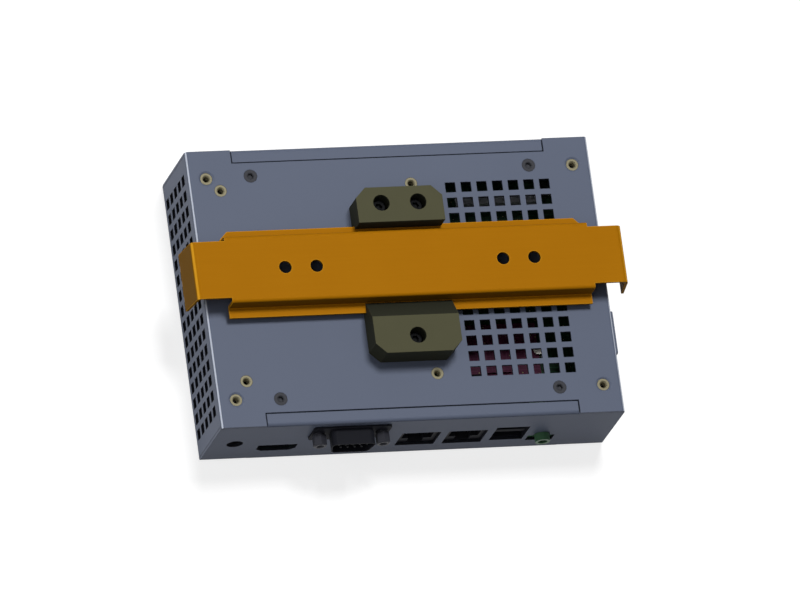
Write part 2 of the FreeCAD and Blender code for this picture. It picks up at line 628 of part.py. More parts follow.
def din_rail():
    """A top-hat rail whose web runs on past the flanges and folds over at both ends."""
    flange_end = HALF_LENGTH - RAIL_FLANGE_INSET
    outline, radii = hat_section()
    hat_bar = prism_x(outline, -flange_end, flange_end, radii)

    end = HALF_LENGTH + RAIL_WEB_OVERHANG
    web, t = RAIL_WEB_TOP, RAIL_SHEET
    foot = web - RAIL_FOLD_LENGTH
    half_tongue = RAIL_WIDTH / 2 - RAIL_LIP - RAIL_TONGUE_INSET
    outside = RAIL_FOLD_INSIDE + t
    lean = RAIL_FOLD_FLARE / RAIL_FOLD_LENGTH
    across = t * math.hypot(1, lean)
    tip = end + RAIL_FOLD_FLARE
    right_half = [(end, web), (tip, foot), (tip - across, foot), (end + lean * t - across, web - t)]
    left_half = [(-x, z) for x, z in reversed(right_half)]
    tongue = prism_y(right_half + left_half,
                     RAIL_CENTRE_Y - half_tongue, RAIL_CENTRE_Y + half_tongue,
                     {0: outside, 3: RAIL_FOLD_INSIDE, 4: RAIL_FOLD_INSIDE, 7: outside})
    cutters = []
    for side in (-1, 1):
        for step in (-0.5, 0.5):
            x = side * (HALF_LENGTH - RAIL_HOLE_INSET) + step * RAIL_HOLE_PITCH
            cutters.append(round_bar(RAIL_HOLE_RADIUS, x, RAIL_CENTRE_Y, foot, web + 1))
        cutters.append(corner_wedge(side * flange_end, RAIL_BACK_Y, -side, -1, RAIL_CORNER,
                                    RAIL_FLANGE_UNDER - 1, RAIL_FLANGE_TOP + 1))
    return [joined([hat_bar, tongue]).cut(cutters)]


def corner_wedge(x, y, inward_x, inward_y, size, z0, z1):
    """The cutter for a corner cut off at 45 degrees."""
    return prism_z([(x - inward_x, y - inward_y), (x + inward_x * (size + 1), y - inward_y),
                    (x - inward_x, y + inward_y * (size + 1))], z0, z1)


def din_clip():
    """A one-piece clip: a base under the rail, a hooked back jaw and a sloped front jaw."""
    grip = RAIL_FLANGE_TOP + GRIP_CLEARANCE
    back_wall = RAIL_BACK_Y + GRIP_CLEARANCE
    front_wall = RAIL_FRONT_Y - GRIP_CLEARANCE
    back_y = RAIL_BACK_Y + CLIP_BACK_LENGTH
    front_y = RAIL_FRONT_Y - CLIP_FRONT_LENGTH
    back_lip = RAIL_BACK_Y - CLIP_BACK_GRIP
    front_lip = RAIL_FRONT_Y + CLIP_FRONT_GRIP
    profile = [(front_y, CASE_HEIGHT), (back_y, CASE_HEIGHT), (back_y, CLIP_TOP), (back_lip, CLIP_TOP),
               (back_lip, grip), (back_wall, grip), (back_wall, RAIL_FLANGE_UNDER),
               (front_wall, RAIL_FLANGE_UNDER), (front_wall, grip), (front_lip, grip),
               (front_lip, grip + CLIP_TIP), (front_y + CLIP_FRONT_FLAT, CLIP_TOP),
               (front_y, CLIP_TOP)]
    x0 = CLIP_CENTRE_X - CLIP_WIDTH / 2
    x1 = CLIP_CENTRE_X + CLIP_WIDTH / 2
    cutters = []
    for x, inward_x in ((x0, 1), (x1, -1)):
        for y, inward_y in ((back_y, -1), (front_y, 1)):
            cutters.append(corner_wedge(x, y, inward_x, inward_y, CLIP_CORNER,
                                        CASE_HEIGHT - 1, CLIP_TOP + 1))
    for x, y in CLIP_HOLES:
        cutters.append(round_bar(SCREW_HOLE_RADIUS, x, y, CASE_HEIGHT - 1, CLIP_TOP + 1))
        cutters.append(round_bar(CLIP_COUNTERBORE_RADIUS, x, y, CLIP_SEAT_Z, CLIP_TOP + 1))
    return [prism_x(profile, x0, x1).cut(cutters)]


def clip_screws():
    """Socket-head screws at the bottom of the clip's counterbores."""
    screws = []
    radius, height = CLIP_SCREW_HEAD
    for x, y in CLIP_HOLES:
        top = CLIP_SEAT_Z + height
        head = round_bar(radius, x, y, CLIP_SEAT_Z, top)
        shank = round_bar(SCREW_SHANK_RADIUS, x, y, UNDERSIDE_INNER, CLIP_SEAT_Z)
        socket = prism_z(hexagon(CLIP_SCREW_SOCKET, x, y), top - CLIP_SCREW_SOCKET_DEPTH, top + 1)
        screws.append(head.fuse(shank).cut(socket))
    return screws


def closed_nuts(places, z):
    """Closed hexagon nuts whose lower face is at z."""
    across, height = NUT
    return [prism_z(hexagon(across, x, y), z, z + height) for x, y in places]


def clip_nuts():
    return closed_nuts(CLIP_HOLES, UNDERSIDE_INNER - NUT[1])


# ---------------------------------------------------------------- board and cooling
def motherboard():
    """The main board with its four stud holes."""
    board = block(-BOARD_END, BOARD_END, BOARD_FRONT_Y, BOARD_BACK_Y, BOARD_UNDER, BOARD_TOP)
    holes = [round_bar(SCREW_HOLE_RADIUS, x, y, 0, BOARD_TOP + 1) for x, y in BOARD_HOLE_PLACES]
    return [board.cut(holes)]


def board_standoffs():
    """Hexagon posts pressed into the cover; a thinner stud goes on through the board."""
    posts = []
    for x, y in BOARD_HOLE_PLACES:
        post = prism_z(hexagon(STANDOFF, x, y), SHEET, BOARD_UNDER)
        stud = round_bar(SCREW_SHANK_RADIUS, x, y, BOARD_UNDER, BOARD_TOP)
        posts.append(post.fuse(stud))
    return posts


def board_nuts():
    return closed_nuts(BOARD_HOLE_PLACES, BOARD_TOP)


def processor():
    """The processor on the board's lower face, its die towards the cover."""
    x, y = on_board(PROCESSOR_AT)
    middle = BOARD_UNDER - PROCESSOR_HEIGHT / 2
    carrier = standing_block(x, y, PROCESSOR_SIZE, middle, BOARD_UNDER)
    die = standing_block(x, y, PROCESSOR_DIE, BOARD_UNDER - PROCESSOR_HEIGHT, middle)
    return [joined([carrier, die])]


def thermal_pad():
    """The soft pad between the die and the spreader."""
    x, y = on_board(PROCESSOR_AT)
    top = BOARD_UNDER - PROCESSOR_HEIGHT
    return [standing_block(x, y, THERMAL_PAD_SIZE, top - THERMAL_PAD_HEIGHT, top)]


def heat_spreader():
    """An aluminium block between the processor and the cover, which sheds the heat."""
    x, y = on_board(PROCESSOR_AT)
    return [standing_block(x, y, SPREADER_SIZE, SHEET,
                           BOARD_UNDER - PROCESSOR_HEIGHT - THERMAL_PAD_HEIGHT)]


# ---------------------------------------------------------------- cards
def memory_socket():
    """The memory socket: a long bar with a side arm at each end."""
    x, y = on_board(MEMORY_AT)
    arm_width, arm_length, arm_height = MEMORY_ARM
    card_half = MEMORY_SIZE[0] / 2
    half = card_half + arm_width
    bar = block(x - half, x + half, y - MEMORY_SOCKET_DEPTH, y, BOARD_TOP,
                BOARD_TOP + MEMORY_SOCKET_HEIGHT)
    arms = [block(x0, x0 + arm_width, y, y + arm_length, BOARD_TOP, BOARD_TOP + arm_height)
            for x0 in (x - half, x + card_half)]
    mouth = block(x - card_half, x + card_half, y - MEMORY_PLUG, y + 1,
                  BOARD_TOP + MEMORY_LIFT, BOARD_TOP + MEMORY_LIFT + MEMORY_SHEET)
    return [joined([bar] + arms).cut(mouth)]


def memory_module():
    """A memory card with four chips on its upper face."""
    x, y = on_board(MEMORY_AT)
    y0 = y - MEMORY_PLUG
    z = BOARD_TOP + MEMORY_LIFT
    top = z + MEMORY_SHEET
    half = MEMORY_SIZE[0] / 2
    card = block(x - half, x + half, y0, y0 + MEMORY_SIZE[1], z, top)
    chips = [standing_block(x + step * MEMORY_CHIP_PITCH, y0 + MEMORY_SIZE[1] / 2, MEMORY_CHIP,
                            top, top + MEMORY_CHIP_HEIGHT)
             for step in (-1.5, -0.5, 0.5, 1.5)]
    return [joined([card] + chips)]


def card_socket(place):
    """An edge-card socket whose mouth faces +X."""
    x, y = on_board(place)
    depth, width, height = CARD_SOCKET
    x1 = x + CARD_PLUG
    body = block(x1 - depth, x1, y - width / 2, y + width / 2, BOARD_TOP, BOARD_TOP + height)
    mouth = block(x, x1 + 1, y - width / 2 + 1, y + width / 2 - 1,
                  BOARD_TOP + CARD_LIFT, BOARD_TOP + CARD_LIFT + CARD_SHEET)
    return body.cut(mouth)


def plug_in_card(place, size, chips):
    """A plug-in card lying along +X with its chips on top; the far end has its screw notch."""
    x, y = on_board(place)
    z = BOARD_TOP + CARD_LIFT
    top = z + CARD_SHEET
    card = block(x, x + size[0], y - size[1] / 2, y + size[1] / 2, z, top)
    notch = round_bar(CARD_NOTCH_RADIUS, x + size[0], y, z - 1, top + 1)
    packages = [standing_block(x + chip_x, y + chip_y, (width, depth), top, top + CARD_CHIP_HEIGHT)
                for chip_x, chip_y, width, depth in chips]
    return joined([card] + packages).cut(notch)


def card_post(place, size):
    """The hexagon post and bolt that hold a card's far end."""
    x, y = on_board(place)
    end = x + size[0]
    z = BOARD_TOP + CARD_LIFT
    head_z = z + CARD_SHEET
    post = prism_z(hexagon(CARD_POST, end, y), BOARD_TOP, z)
    neck = prism_z(hexagon(CARD_BOLT_NECK, end, y), z, head_z)
    head = prism_z(hexagon(CARD_BOLT_HEAD[0], end, y), head_z, head_z + CARD_BOLT_HEAD[1])
    return joined([post, neck, head])


def wireless_socket():
    return [card_socket(WIRELESS_AT)]


def wireless_card():
    return [plug_in_card(WIRELESS_AT, WIRELESS_SIZE, WIRELESS_CHIPS)]


def storage_socket():
    return [card_socket(STORAGE_AT)]


def storage_module():
    return [plug_in_card(STORAGE_AT, STORAGE_SIZE, STORAGE_CHIPS)]


def card_posts():
    return [card_post(WIRELESS_AT, WIRELESS_SIZE), card_post(STORAGE_AT, STORAGE_SIZE)]


# ---------------------------------------------------------------- small parts on the board
def coin_cell():
    """The clock's cell, lying flat in its holder."""
    x, y = on_board(COIN_CELL_AT)
    z = BOARD_TOP + COIN_BASE[2]
    return [round_bar(COIN_CELL_RADIUS, x, y, z, z + COIN_CELL_HEIGHT)]


def coin_cell_holder():
    """A base plate with a bent strap over the cell."""
    x, y = on_board(COIN_CELL_AT)
    width, sheet = COIN_STRAP
    base = standing_block(x, y, COIN_BASE, BOARD_TOP, BOARD_TOP + COIN_BASE[2])
    cell_top = BOARD_TOP + COIN_BASE[2] + COIN_CELL_HEIGHT
    reach = COIN_CELL_RADIUS + sheet
    strap = prism_y([(x - reach, BOARD_TOP), (x - reach, cell_top + sheet),
                     (x + reach, cell_top + sheet), (x + reach, BOARD_TOP),
                     (x + COIN_CELL_RADIUS, BOARD_TOP), (x + COIN_CELL_RADIUS, cell_top),
                     (x - COIN_CELL_RADIUS, cell_top), (x - COIN_CELL_RADIUS, BOARD_TOP)],
                    y - width / 2, y + width / 2)
    return [joined([base, strap])]


def board_inductors():
    """Moulded power inductors beside the power input."""
    return [standing_block(*on_board(place), INDUCTOR, BOARD_TOP, BOARD_TOP + INDUCTOR[2])
            for place in INDUCTOR_PLACES]


def board_capacitors():
    """Round polymer capacitors."""
    radius, height = CAPACITOR
    return [round_bar(radius, *on_board(place), BOARD_TOP, BOARD_TOP + height)
            for place in CAPACITOR_PLACES]


def expansion_header():
    """A shrouded header for an expansion board, along the board's back edge."""
    x, y = on_board(EXPANSION_HEADER_AT)
    top = BOARD_TOP + EXPANSION_HEADER[2]
    shroud = standing_block(x, y, EXPANSION_HEADER, BOARD_TOP, top)
    return [shroud.cut(standing_block(x, y, EXPANSION_MOUTH, top - EXPANSION_MOUTH[2], top + 1))]


def board_chips():
    """Network, audio and controller chips."""
    return [standing_block(*on_board((x, y)), (side, side), BOARD_TOP, BOARD_TOP + CHIP_HEIGHT)
            for x, y, side in CHIPS]


# ---------------------------------------------------------------- connectors
def lan_can(index):
    """A network port's metal can, open at the front."""
    x = from_left(LAN_X[index])
    width, height, depth = LAN_CAN
    inner_size = (width - 2 * LAN_SHEET, height - 2 * LAN_SHEET)
    outer = panel_block(x, LAN_Z, LAN_CAN, CONNECTOR_Y, CONNECTOR_Y + depth)
    inner = panel_block(x, LAN_Z, inner_size, CONNECTOR_Y - 1, CONNECTOR_Y + depth - LAN_SHEET)
    return [outer.cut(inner)]


def lan_inserts():
    """The plastic inside both network ports, with the stepped plug opening."""
    bodies = []
    width, height, depth = LAN_CAN
    size = (width - 2 * LAN_SHEET, height - 2 * LAN_SHEET)
    mouth_z = LAN_Z + LAN_MOUTH_LIFT
    latch_z = mouth_z - (LAN_MOUTH[1] + LAN_LATCH[1]) / 2
    for x in map(from_left, LAN_X):
        body = panel_block(x, LAN_Z, size, CONNECTOR_Y, CONNECTOR_Y + depth - LAN_SHEET)
        mouth = panel_block(x, mouth_z, LAN_MOUTH, CONNECTOR_Y - 1, CONNECTOR_Y + LAN_MOUTH[2])
        latch = panel_block(x, latch_z, LAN_LATCH, CONNECTOR_Y - 1, CONNECTOR_Y + LAN_LATCH[2])
        bodies.append(body.cut([mouth, latch]))
    return bodies


def lan_contacts():
    """Gold spring contacts, sloping down from the roof of each network port."""
    contacts = []
    roof = LAN_Z + LAN_MOUTH_LIFT + LAN_MOUTH[1] / 2
    y0, y1 = [CONNECTOR_Y + run for run in LAN_CONTACT_RUN]
    for x in map(from_left, LAN_X):
        for index in range(LAN_CONTACTS):
            x0 = x + (index - (LAN_CONTACTS - 1) / 2) * LAN_CONTACT_PITCH - LAN_CONTACT_WIDTH / 2
            contacts.append(prism_x([(y0, roof), (y0 + LAN_CONTACT_WIDTH, roof),
                                     (y1 + LAN_CONTACT_WIDTH, roof - LAN_CONTACT_DROP),
                                     (y1, roof - LAN_CONTACT_DROP)], x0, x0 + LAN_CONTACT_WIDTH))
    return contacts


def usb_mouths():
    """The middle heights of the two USB mouths."""
    return [USB_Z - USB_SLOT_PITCH / 2, USB_Z + USB_SLOT_PITCH / 2]


def usb_can():
    """The double-stacked USB port: one can with two mouths."""
    x = from_left(USB_X)
    width, height, depth = USB_CAN
    body = block(x - width / 2, x + width / 2, CONNECTOR_Y, CONNECTOR_Y + depth,
                 BOARD_TOP, BOARD_TOP + height)
    mouths = [panel_block(x, z, USB_SLOT, CONNECTOR_Y - 1, CONNECTOR_Y + USB_SLOT[2])
              for z in usb_mouths()]
    return [body.cut(mouths)]


def usb_tongues():
    """The plastic tongue in each USB mouth, with its foot at the back."""
    x = from_left(USB_X)
    end = CONNECTOR_Y + USB_SLOT[2]
    tongues = []
    for z in usb_mouths():
        foot = panel_block(x, z, USB_SLOT, end - USB_TONGUE_FOOT, end)
        blade = panel_block(x, z + USB_TONGUE_LIFT, USB_TONGUE, end - USB_TONGUE_FOOT - USB_TONGUE[2],
                            end - USB_TONGUE_FOOT)
        tongues.append(joined([foot, blade]))
    return tongues


def hdmi_port():
    """The HDMI can on its feet, with the tongue inside."""
    x = from_left(HDMI_X)
    back = CONNECTOR_Y + HDMI_DEPTH
    outer = prism_y(hdmi_outline(HDMI_SHEET), CONNECTOR_Y, back)
    mouth_end = back - HDMI_CHAMFER[1]
    inner = prism_y(hdmi_outline(), CONNECTOR_Y - 1, mouth_end)
    can_under = HDMI_Z - HDMI_OPENING[1] / 2 - HDMI_SHEET
    half = HDMI_OPENING[0] / 2 - HDMI_CHAMFER[0]
    feet = block(x - half, x + half, mouth_end - 3, back, BOARD_TOP, can_under)
    tongue = panel_block(x, HDMI_Z, HDMI_TONGUE, CONNECTOR_Y + 1, mouth_end)
    return [joined([outer.cut(inner), feet, tongue])]


def power_jack():
    """A panel jack: its body behind the panel, its round mouth and the centre pin."""
    x, z = from_left(POWER_JACK_X), POWER_JACK_Z
    y0 = PANEL_INNER_Y
    tail_y = y0 + POWER_JACK_BODY[2]
    body = panel_block(x, z, POWER_JACK_BODY, y0, tail_y)
    tail = panel_block(x, z, POWER_JACK_TAIL, tail_y, tail_y + POWER_JACK_TAIL[2])
    bore = round_bar_y(POWER_JACK_BORE[0], x, z, y0 - 1, y0 + POWER_JACK_BORE[1])
    pin = round_bar_y(POWER_JACK_PIN[0], x, z, y0 + POWER_JACK_PIN[1], y0 + POWER_JACK_BORE[1])
    return [joined([joined([body, tail]).cut(bore), pin])]


def audio_jack():
    """The headphone jack: its nose through the panel, its body on the board."""
    x = from_left(AUDIO_X)
    width, depth, height = AUDIO_BODY
    nose_y = -HALF_DEPTH - AUDIO_NOSE_REACH
    body = block(x - width / 2, x + width / 2, CONNECTOR_Y, CONNECTOR_Y + depth,
                 BOARD_TOP, BOARD_TOP + height)
    nose = round_bar_y(AUDIO_NOSE_RADIUS, x, AUDIO_Z, nose_y, CONNECTOR_Y)
    bore = round_bar_y(AUDIO_BORE[0], x, AUDIO_Z, nose_y - 1, CONNECTOR_Y + AUDIO_BORE[1])
    return [joined([body, nose]).cut(bore)]


def serial_shell():
    """The serial port's metal flange, outside the panel, with the D-shaped collar."""
    x = from_left(SERIAL_X)
    w, h = SERIAL_FLANGE[0] / 2, SERIAL_FLANGE[1] / 2
    flange = prism_y(rectangle(x - w, x + w, SERIAL_Z - h, SERIAL_Z + h), SERIAL_FACE_Y, -HALF_DEPTH,
                     all_corners(SERIAL_FLANGE_CORNER))
    front = SERIAL_FACE_Y - SERIAL_REACH
    collar = prism_y(d_outline(), front, SERIAL_FACE_Y, all_corners(SERIAL_SHELL_CORNER))
    inside = prism_y(d_outline(-SERIAL_WALL), front - 1, 0,
                     all_corners(SERIAL_SHELL_CORNER - SERIAL_WALL))
    holes = [round_bar_y(SCREW_HOLE_RADIUS, hole_x, SERIAL_Z, SERIAL_FACE_Y - 1, 0)
             for hole_x in JACKSCREW_PLACES]
    return [joined([flange, collar]).cut([inside] + holes)]


def serial_body():
    """The insulator that fills the flange's opening and carries the pins."""
    return [prism_y(d_outline(-SERIAL_WALL), SERIAL_FACE_Y, PANEL_INNER_Y + SERIAL_BODY_DEPTH,
                    all_corners(SERIAL_SHELL_CORNER - SERIAL_WALL))]


def serial_pins():
    """Five pins in the long row and four in the short row, standing on the insulator."""
    x = from_left(SERIAL_X)
    across, length = SERIAL_PIN
    pins = []
    for count, z in ((5, SERIAL_Z + SERIAL_ROW_PITCH / 2), (4, SERIAL_Z - SERIAL_ROW_PITCH / 2)):
        for index in range(count):
            pin_x = x + (index - (count - 1) / 2) * SERIAL_PIN_PITCH
            pins.append(prism_y(hexagon(across, pin_x, z), SERIAL_FACE_Y - length, SERIAL_FACE_Y))
    return pins


def serial_jackscrews():
    """Hexagon screws either side of the serial port, with a threaded hole in the head."""
    screws = []
    across, length = JACKSCREW
    front = SERIAL_FACE_Y - length
    for x in JACKSCREW_PLACES:
        head = prism_y(hexagon(across, x, SERIAL_Z, 30), front, SERIAL_FACE_Y)
        thread = round_bar_y(JACKSCREW_THREAD[0], x, SERIAL_Z, front - 1, front + JACKSCREW_THREAD[1])
        shank = round_bar_y(SCREW_SHANK_RADIUS, x, SERIAL_Z, SERIAL_FACE_Y, PANEL_INNER_Y)
        screws.append(head.cut(thread).fuse(shank))
    return screws


def serial_nuts():
    """The jackscrews' closed nuts behind the panel."""
    across, height = JACKSCREW_NUT
    return [prism_y(hexagon(across, x, SERIAL_Z, 30), PANEL_INNER_Y, PANEL_INNER_Y + height)
            for x in JACKSCREW_PLACES]


def serial_header():
    """The shrouded pin header with the ribbon's plug in it."""
    x, y = on_board(SERIAL_HEADER_AT)
    top = BOARD_TOP + SERIAL_HEADER[2]
    shroud = standing_block(x, y, SERIAL_HEADER, BOARD_TOP, top)
    plug = standing_block(x, y, SERIAL_PLUG, top, top + SERIAL_PLUG[2])
    return [joined([shroud, plug])]


def flat_lead(x, y_start, y_end, z_high, z_low, size, bend):
    """A flat lead that runs back along Y and bends down to z_low."""
    width, half = size[0], size[1] / 2
    outline = [(y_start, z_high + half), (y_end + half, z_high + half), (y_end + half, z_low),
               (y_end - half, z_low), (y_end - half, z_high - half), (y_start, z_high - half)]
    return prism_x(outline, x - width / 2, x + width / 2, {1: bend + half, 4: bend - half})


def serial_ribbon():
    """The flat cable from the back of the serial port down to its header."""
    x, y = on_board(SERIAL_HEADER_AT)
    plug_top = BOARD_TOP + SERIAL_HEADER[2] + SERIAL_PLUG[2]
    return [flat_lead(x, PANEL_INNER_Y + SERIAL_BODY_DEPTH, y, SERIAL_Z, plug_top, RIBBON, RIBBON_BEND)]


def power_header():
    x, y = on_board(POWER_HEADER_AT)
    return [standing_block(x, y, POWER_HEADER, BOARD_TOP, BOARD_TOP + POWER_HEADER[2])]


def power_lead():
    """The insulated pair from the back of the power jack down to its header."""
    x, y = on_board(POWER_HEADER_AT)
    jack_end = PANEL_INNER_Y + POWER_JACK_BODY[2] + POWER_JACK_TAIL[2]
    return [flat_lead(x, jack_end, y, POWER_JACK_Z, BOARD_TOP + POWER_HEADER[2], POWER_LEAD,
                      POWER_LEAD_BEND)]


# ---------------------------------------------------------------- write every sub-part
SUB_PARTS = {
    "bottom_tray": bottom_tray(),
    "top_cover": top_cover(),
    "mount_inserts": mount_inserts(),
    "corner_inserts": corner_inserts(),
    "case_screws": case_screws(),
    "side_slot_cover": side_slot_cover(),
    "din_rail": din_rail(),
    "din_clip": din_clip(),
    "clip_screws": clip_screws(),
    "clip_nuts": clip_nuts(),
    "motherboard": motherboard(),
    "board_standoffs": board_standoffs(),
    "board_nuts": board_nuts(),
    "processor": processor(),
    "thermal_pad": thermal_pad(),
    "heat_spreader": heat_spreader(),
    "memory_socket": memory_socket(),
    "memory_module": memory_module(),
    "wireless_socket": wireless_socket(),
    "wireless_card": wireless_card(),
    "storage_socket": storage_socket(),
    "storage_module": storage_module(),
    "card_posts": card_posts(),
    "coin_cell": coin_cell(),
    "coin_cell_holder": coin_cell_holder(),
    "board_inductors": board_inductors(),
    "board_capacitors": board_capacitors(),
    "expansion_header": expansion_header(),
    "board_chips": board_chips(),
    "lan_can_1": lan_can(0),
    "lan_can_2": lan_can(1),
    "lan_inserts": lan_inserts(),
    "lan_contacts": lan_contacts(),
    "usb_can": usb_can(),
    "usb_tongues": usb_tongues(),
    "hdmi_port": hdmi_port(),
    "power_jack": power_jack(),
    "audio_jack": audio_jack(),
    "serial_shell": serial_shell(),
    "serial_body": serial_body(),
    "serial_pins": serial_pins(),
    "serial_jackscrews": serial_jackscrews(),
    "serial_nuts": serial_nuts(),
    "serial_header": serial_header(),
    "serial_ribbon": serial_ribbon(),
    "power_header": power_header(),
    "power_lead": power_lead(),
}

for name, solids in SUB_PARTS.items():
    shape = solids[0] if len(solids) == 1 else Part.makeCompound(solids)
    shape.exportStep("parts/" + name + ".step")
    print(name, len(shape.Solids), round(shape.Volume, 1), shape.isValid())
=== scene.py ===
# %% [markdown]
# # A fanless industrial PC on its rail clip
#
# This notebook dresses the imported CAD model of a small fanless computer. The case is two folded
# steel sheets, and it lies on its cover, with the underside, the clip and a piece of top-hat rail
# facing up. The CAD nodes already have the real shapes, so most cells here make finishes, and a
# few make the small turned parts whose threads and sockets are too fine for the CAD.

# %% Load the frame
import bpy
import bmesh
import json
import math
from mathutils import Matrix, Vector


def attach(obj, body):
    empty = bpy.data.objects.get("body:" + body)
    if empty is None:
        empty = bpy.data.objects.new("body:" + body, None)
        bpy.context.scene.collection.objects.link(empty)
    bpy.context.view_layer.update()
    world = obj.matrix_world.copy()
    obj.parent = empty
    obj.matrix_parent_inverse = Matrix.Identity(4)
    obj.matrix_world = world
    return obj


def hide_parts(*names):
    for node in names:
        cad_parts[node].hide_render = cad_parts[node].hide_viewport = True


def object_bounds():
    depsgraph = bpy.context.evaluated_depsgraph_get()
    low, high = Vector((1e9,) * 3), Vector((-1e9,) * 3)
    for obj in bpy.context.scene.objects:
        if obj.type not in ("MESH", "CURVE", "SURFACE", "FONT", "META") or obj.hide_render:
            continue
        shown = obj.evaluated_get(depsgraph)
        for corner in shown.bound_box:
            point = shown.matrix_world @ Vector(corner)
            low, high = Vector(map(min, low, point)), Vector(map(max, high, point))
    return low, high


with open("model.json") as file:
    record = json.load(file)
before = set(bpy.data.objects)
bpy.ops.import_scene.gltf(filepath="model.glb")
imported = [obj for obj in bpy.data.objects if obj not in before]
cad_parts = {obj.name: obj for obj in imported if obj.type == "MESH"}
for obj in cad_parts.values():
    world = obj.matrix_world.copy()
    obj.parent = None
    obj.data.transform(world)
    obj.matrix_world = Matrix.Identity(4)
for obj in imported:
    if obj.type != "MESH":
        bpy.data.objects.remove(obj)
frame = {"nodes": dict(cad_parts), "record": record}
cad_low, cad_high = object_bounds()
MM = 0.001
print("nodes:", len(frame["nodes"]), "size in mm:", [round(s / MM, 1) for s in cad_high - cad_low])

# %% [markdown]
# ## Camera
#
# A long lens far away shows a product almost as a drawing does, with parallel edges that stay
# parallel. A short lens close by would make the near corner loom. The long lens keeps the rail's
# two long edges parallel, and the camera is still a real one, so other views work too. The camera
# is turned about its own axis as well, because the case is shown tilted.

# %% Place the camera
AZIMUTH, ELEVATION, ROLL = math.radians(-40.1), math.radians(65.0), math.radians(35.0)
LENS_MM, SENSOR_MM = 900.0, 36.0
FRAME_WIDTH = 305.64 * MM      # what the render's long side covers in the plane below
TRUE_PLANE = 32.0 * MM         # the height at which that width is exact, near the underside
AIM_RIGHT, AIM_UP = 6.94 * MM, 5.66 * MM     # from the frame's origin to the view's middle

to_camera = Vector((
    math.sin(AZIMUTH) * math.cos(ELEVATION),
    -math.cos(AZIMUTH) * math.cos(ELEVATION),
    math.sin(ELEVATION),
))
level_right = Vector((0, 0, 1)).cross(to_camera).normalized()
level_up = to_camera.cross(level_right)
camera_right = math.cos(ROLL) * level_right + math.sin(ROLL) * level_up
camera_up = to_camera.cross(camera_right)

camera_data = bpy.data.cameras.new("camera")
camera_data.lens, camera_data.sensor_width = LENS_MM, SENSOR_MM
distance = FRAME_WIDTH * LENS_MM / SENSOR_MM + TRUE_PLANE * to_camera.z
camera_data.clip_start, camera_data.clip_end = distance / 50, distance * 5
camera = bpy.data.objects.new("camera", camera_data)
aim = AIM_RIGHT * camera_right + AIM_UP * camera_up
turn = Matrix((camera_right, camera_up, to_camera)).transposed().to_4x4()
camera.matrix_world = Matrix.Translation(aim + distance * to_camera) @ turn
bpy.context.scene.collection.objects.link(camera)
bpy.context.scene.camera = camera
print("camera distance in m:", round(distance, 3))

# %% [markdown]
# ## Helpers for finishes
#
# A finish in Blender is a small graph of nodes. Colours are written here as the hex values that a
# paint chart or a colour picker gives, and those are in sRGB, while the shader works in linear
# light, so one function turns them. Another adds any node with its inputs and its settings, which
# keeps each finish short enough to read at a glance. Pattern sizes are written in millimetres.

# %% Colour, node and scale helpers
FIRST, SECOND, MIXED = 6, 7, 2     # where a Mix node keeps its colour sockets
WHITE = "#FFFFFF"


def linear(hex_colour):
    """The linear RGBA of an sRGB hex colour."""
    parts = [int(hex_colour[i:i + 2], 16) / 255 for i in (1, 3, 5)]
    return [p / 12.92 if p <= 0.04045 else ((p + 0.055) / 1.055) ** 2.4 for p in parts] + [1.0]


def add(tree, kind, inputs=None, out=0, **settings):
    """Adds a node. Its inputs are numbers, hex colours or sockets, settings are its properties."""
    node = tree.nodes.new("ShaderNode" + kind)
    for name, value in settings.items():
        setattr(node, name, value)
    for name, value in (inputs or {}).items():
        if isinstance(value, bpy.types.NodeSocket):
            tree.links.new(value, node.inputs[name])
        else:
            node.inputs[name].default_value = linear(value) if isinstance(value, str) else value
    return node.outputs[out]


def per_mm(size):
    """The scale that makes a texture repeat about once in this many millimetres."""
    return 1 / (size * MM)


def finish(name, **settings):
    """A new finish: its material, its node tree and its shader with what is constant."""
    material = bpy.data.materials.new(name)
    material.use_nodes = True
    shader = material.node_tree.nodes["Principled BSDF"]
    for socket, value in settings.items():
        shader.inputs[socket.replace("_", " ")].default_value = value
    return material, material.node_tree, shader


def join(tree, shader, **sockets):
    """Links finished sockets to the shader's inputs of these names."""
    for name, socket in sockets.items():
        tree.links.new(socket, shader.inputs[name.replace("_", " ")])


print("sRGB #808080 is", round(linear("#808080")[0], 3), "in linear light")

# %% [markdown]
# ## Where a finish changes
#
# Edges and folds get painted shade and painted highlights, and the clip's edges wear. Painting
# every vent by hand would be slow, and these masks find the places from the shape instead. A bevel
# lookup gives the normal that a rounded edge would have, and where it differs from the true
# normal, there is an edge. The outside of a long fold is where the normal points half along X and
# half along Z, so the smaller of the two tells how near the middle of the bend a point is.

# %% Masks for edges and folds
EDGE_SAMPLES, SOFT_SAMPLES = 6, 4
EDGE_STARTS, EDGE_FULL = 0.02, 0.28     # 1 less the cosine between the two normals


def edge_mask(tree, radius_mm):
    """Up to 1 on an edge, and 0 where no edge is within this radius."""
    rounded = add(tree, "Bevel", {"Radius": radius_mm * MM}, samples=EDGE_SAMPLES)
    flat = add(tree, "NewGeometry", out="Normal")
    match = add(tree, "VectorMath", {0: rounded, 1: flat}, "Value", operation="DOT_PRODUCT")
    return add(tree, "MapRange",
               {"Value": match, "From Min": 1 - EDGE_STARTS, "From Max": 1 - EDGE_FULL})


def facing(tree, axis):
    """How squarely a surface faces along an axis of the case, either way: 1 is squarely."""
    normal = add(tree, "TexCoord", out="Normal")
    return add(tree, "Math", {0: add(tree, "SeparateXYZ", {"Vector": normal}, axis)},
               operation="ABSOLUTE")


def fold_mask(tree, low, high):
    """0 up to the low value and 1 from the high one, towards the middle of a fold along Y."""
    least = add(tree, "Math", {0: facing(tree, "X"), 1: facing(tree, "Z")}, operation="MINIMUM")
    return add(tree, "MapRange", {"Value": least, "From Min": low, "From Max": high})


print("an edge shows from", round(math.degrees(math.acos(1 - EDGE_STARTS)), 1), "degrees of turn")

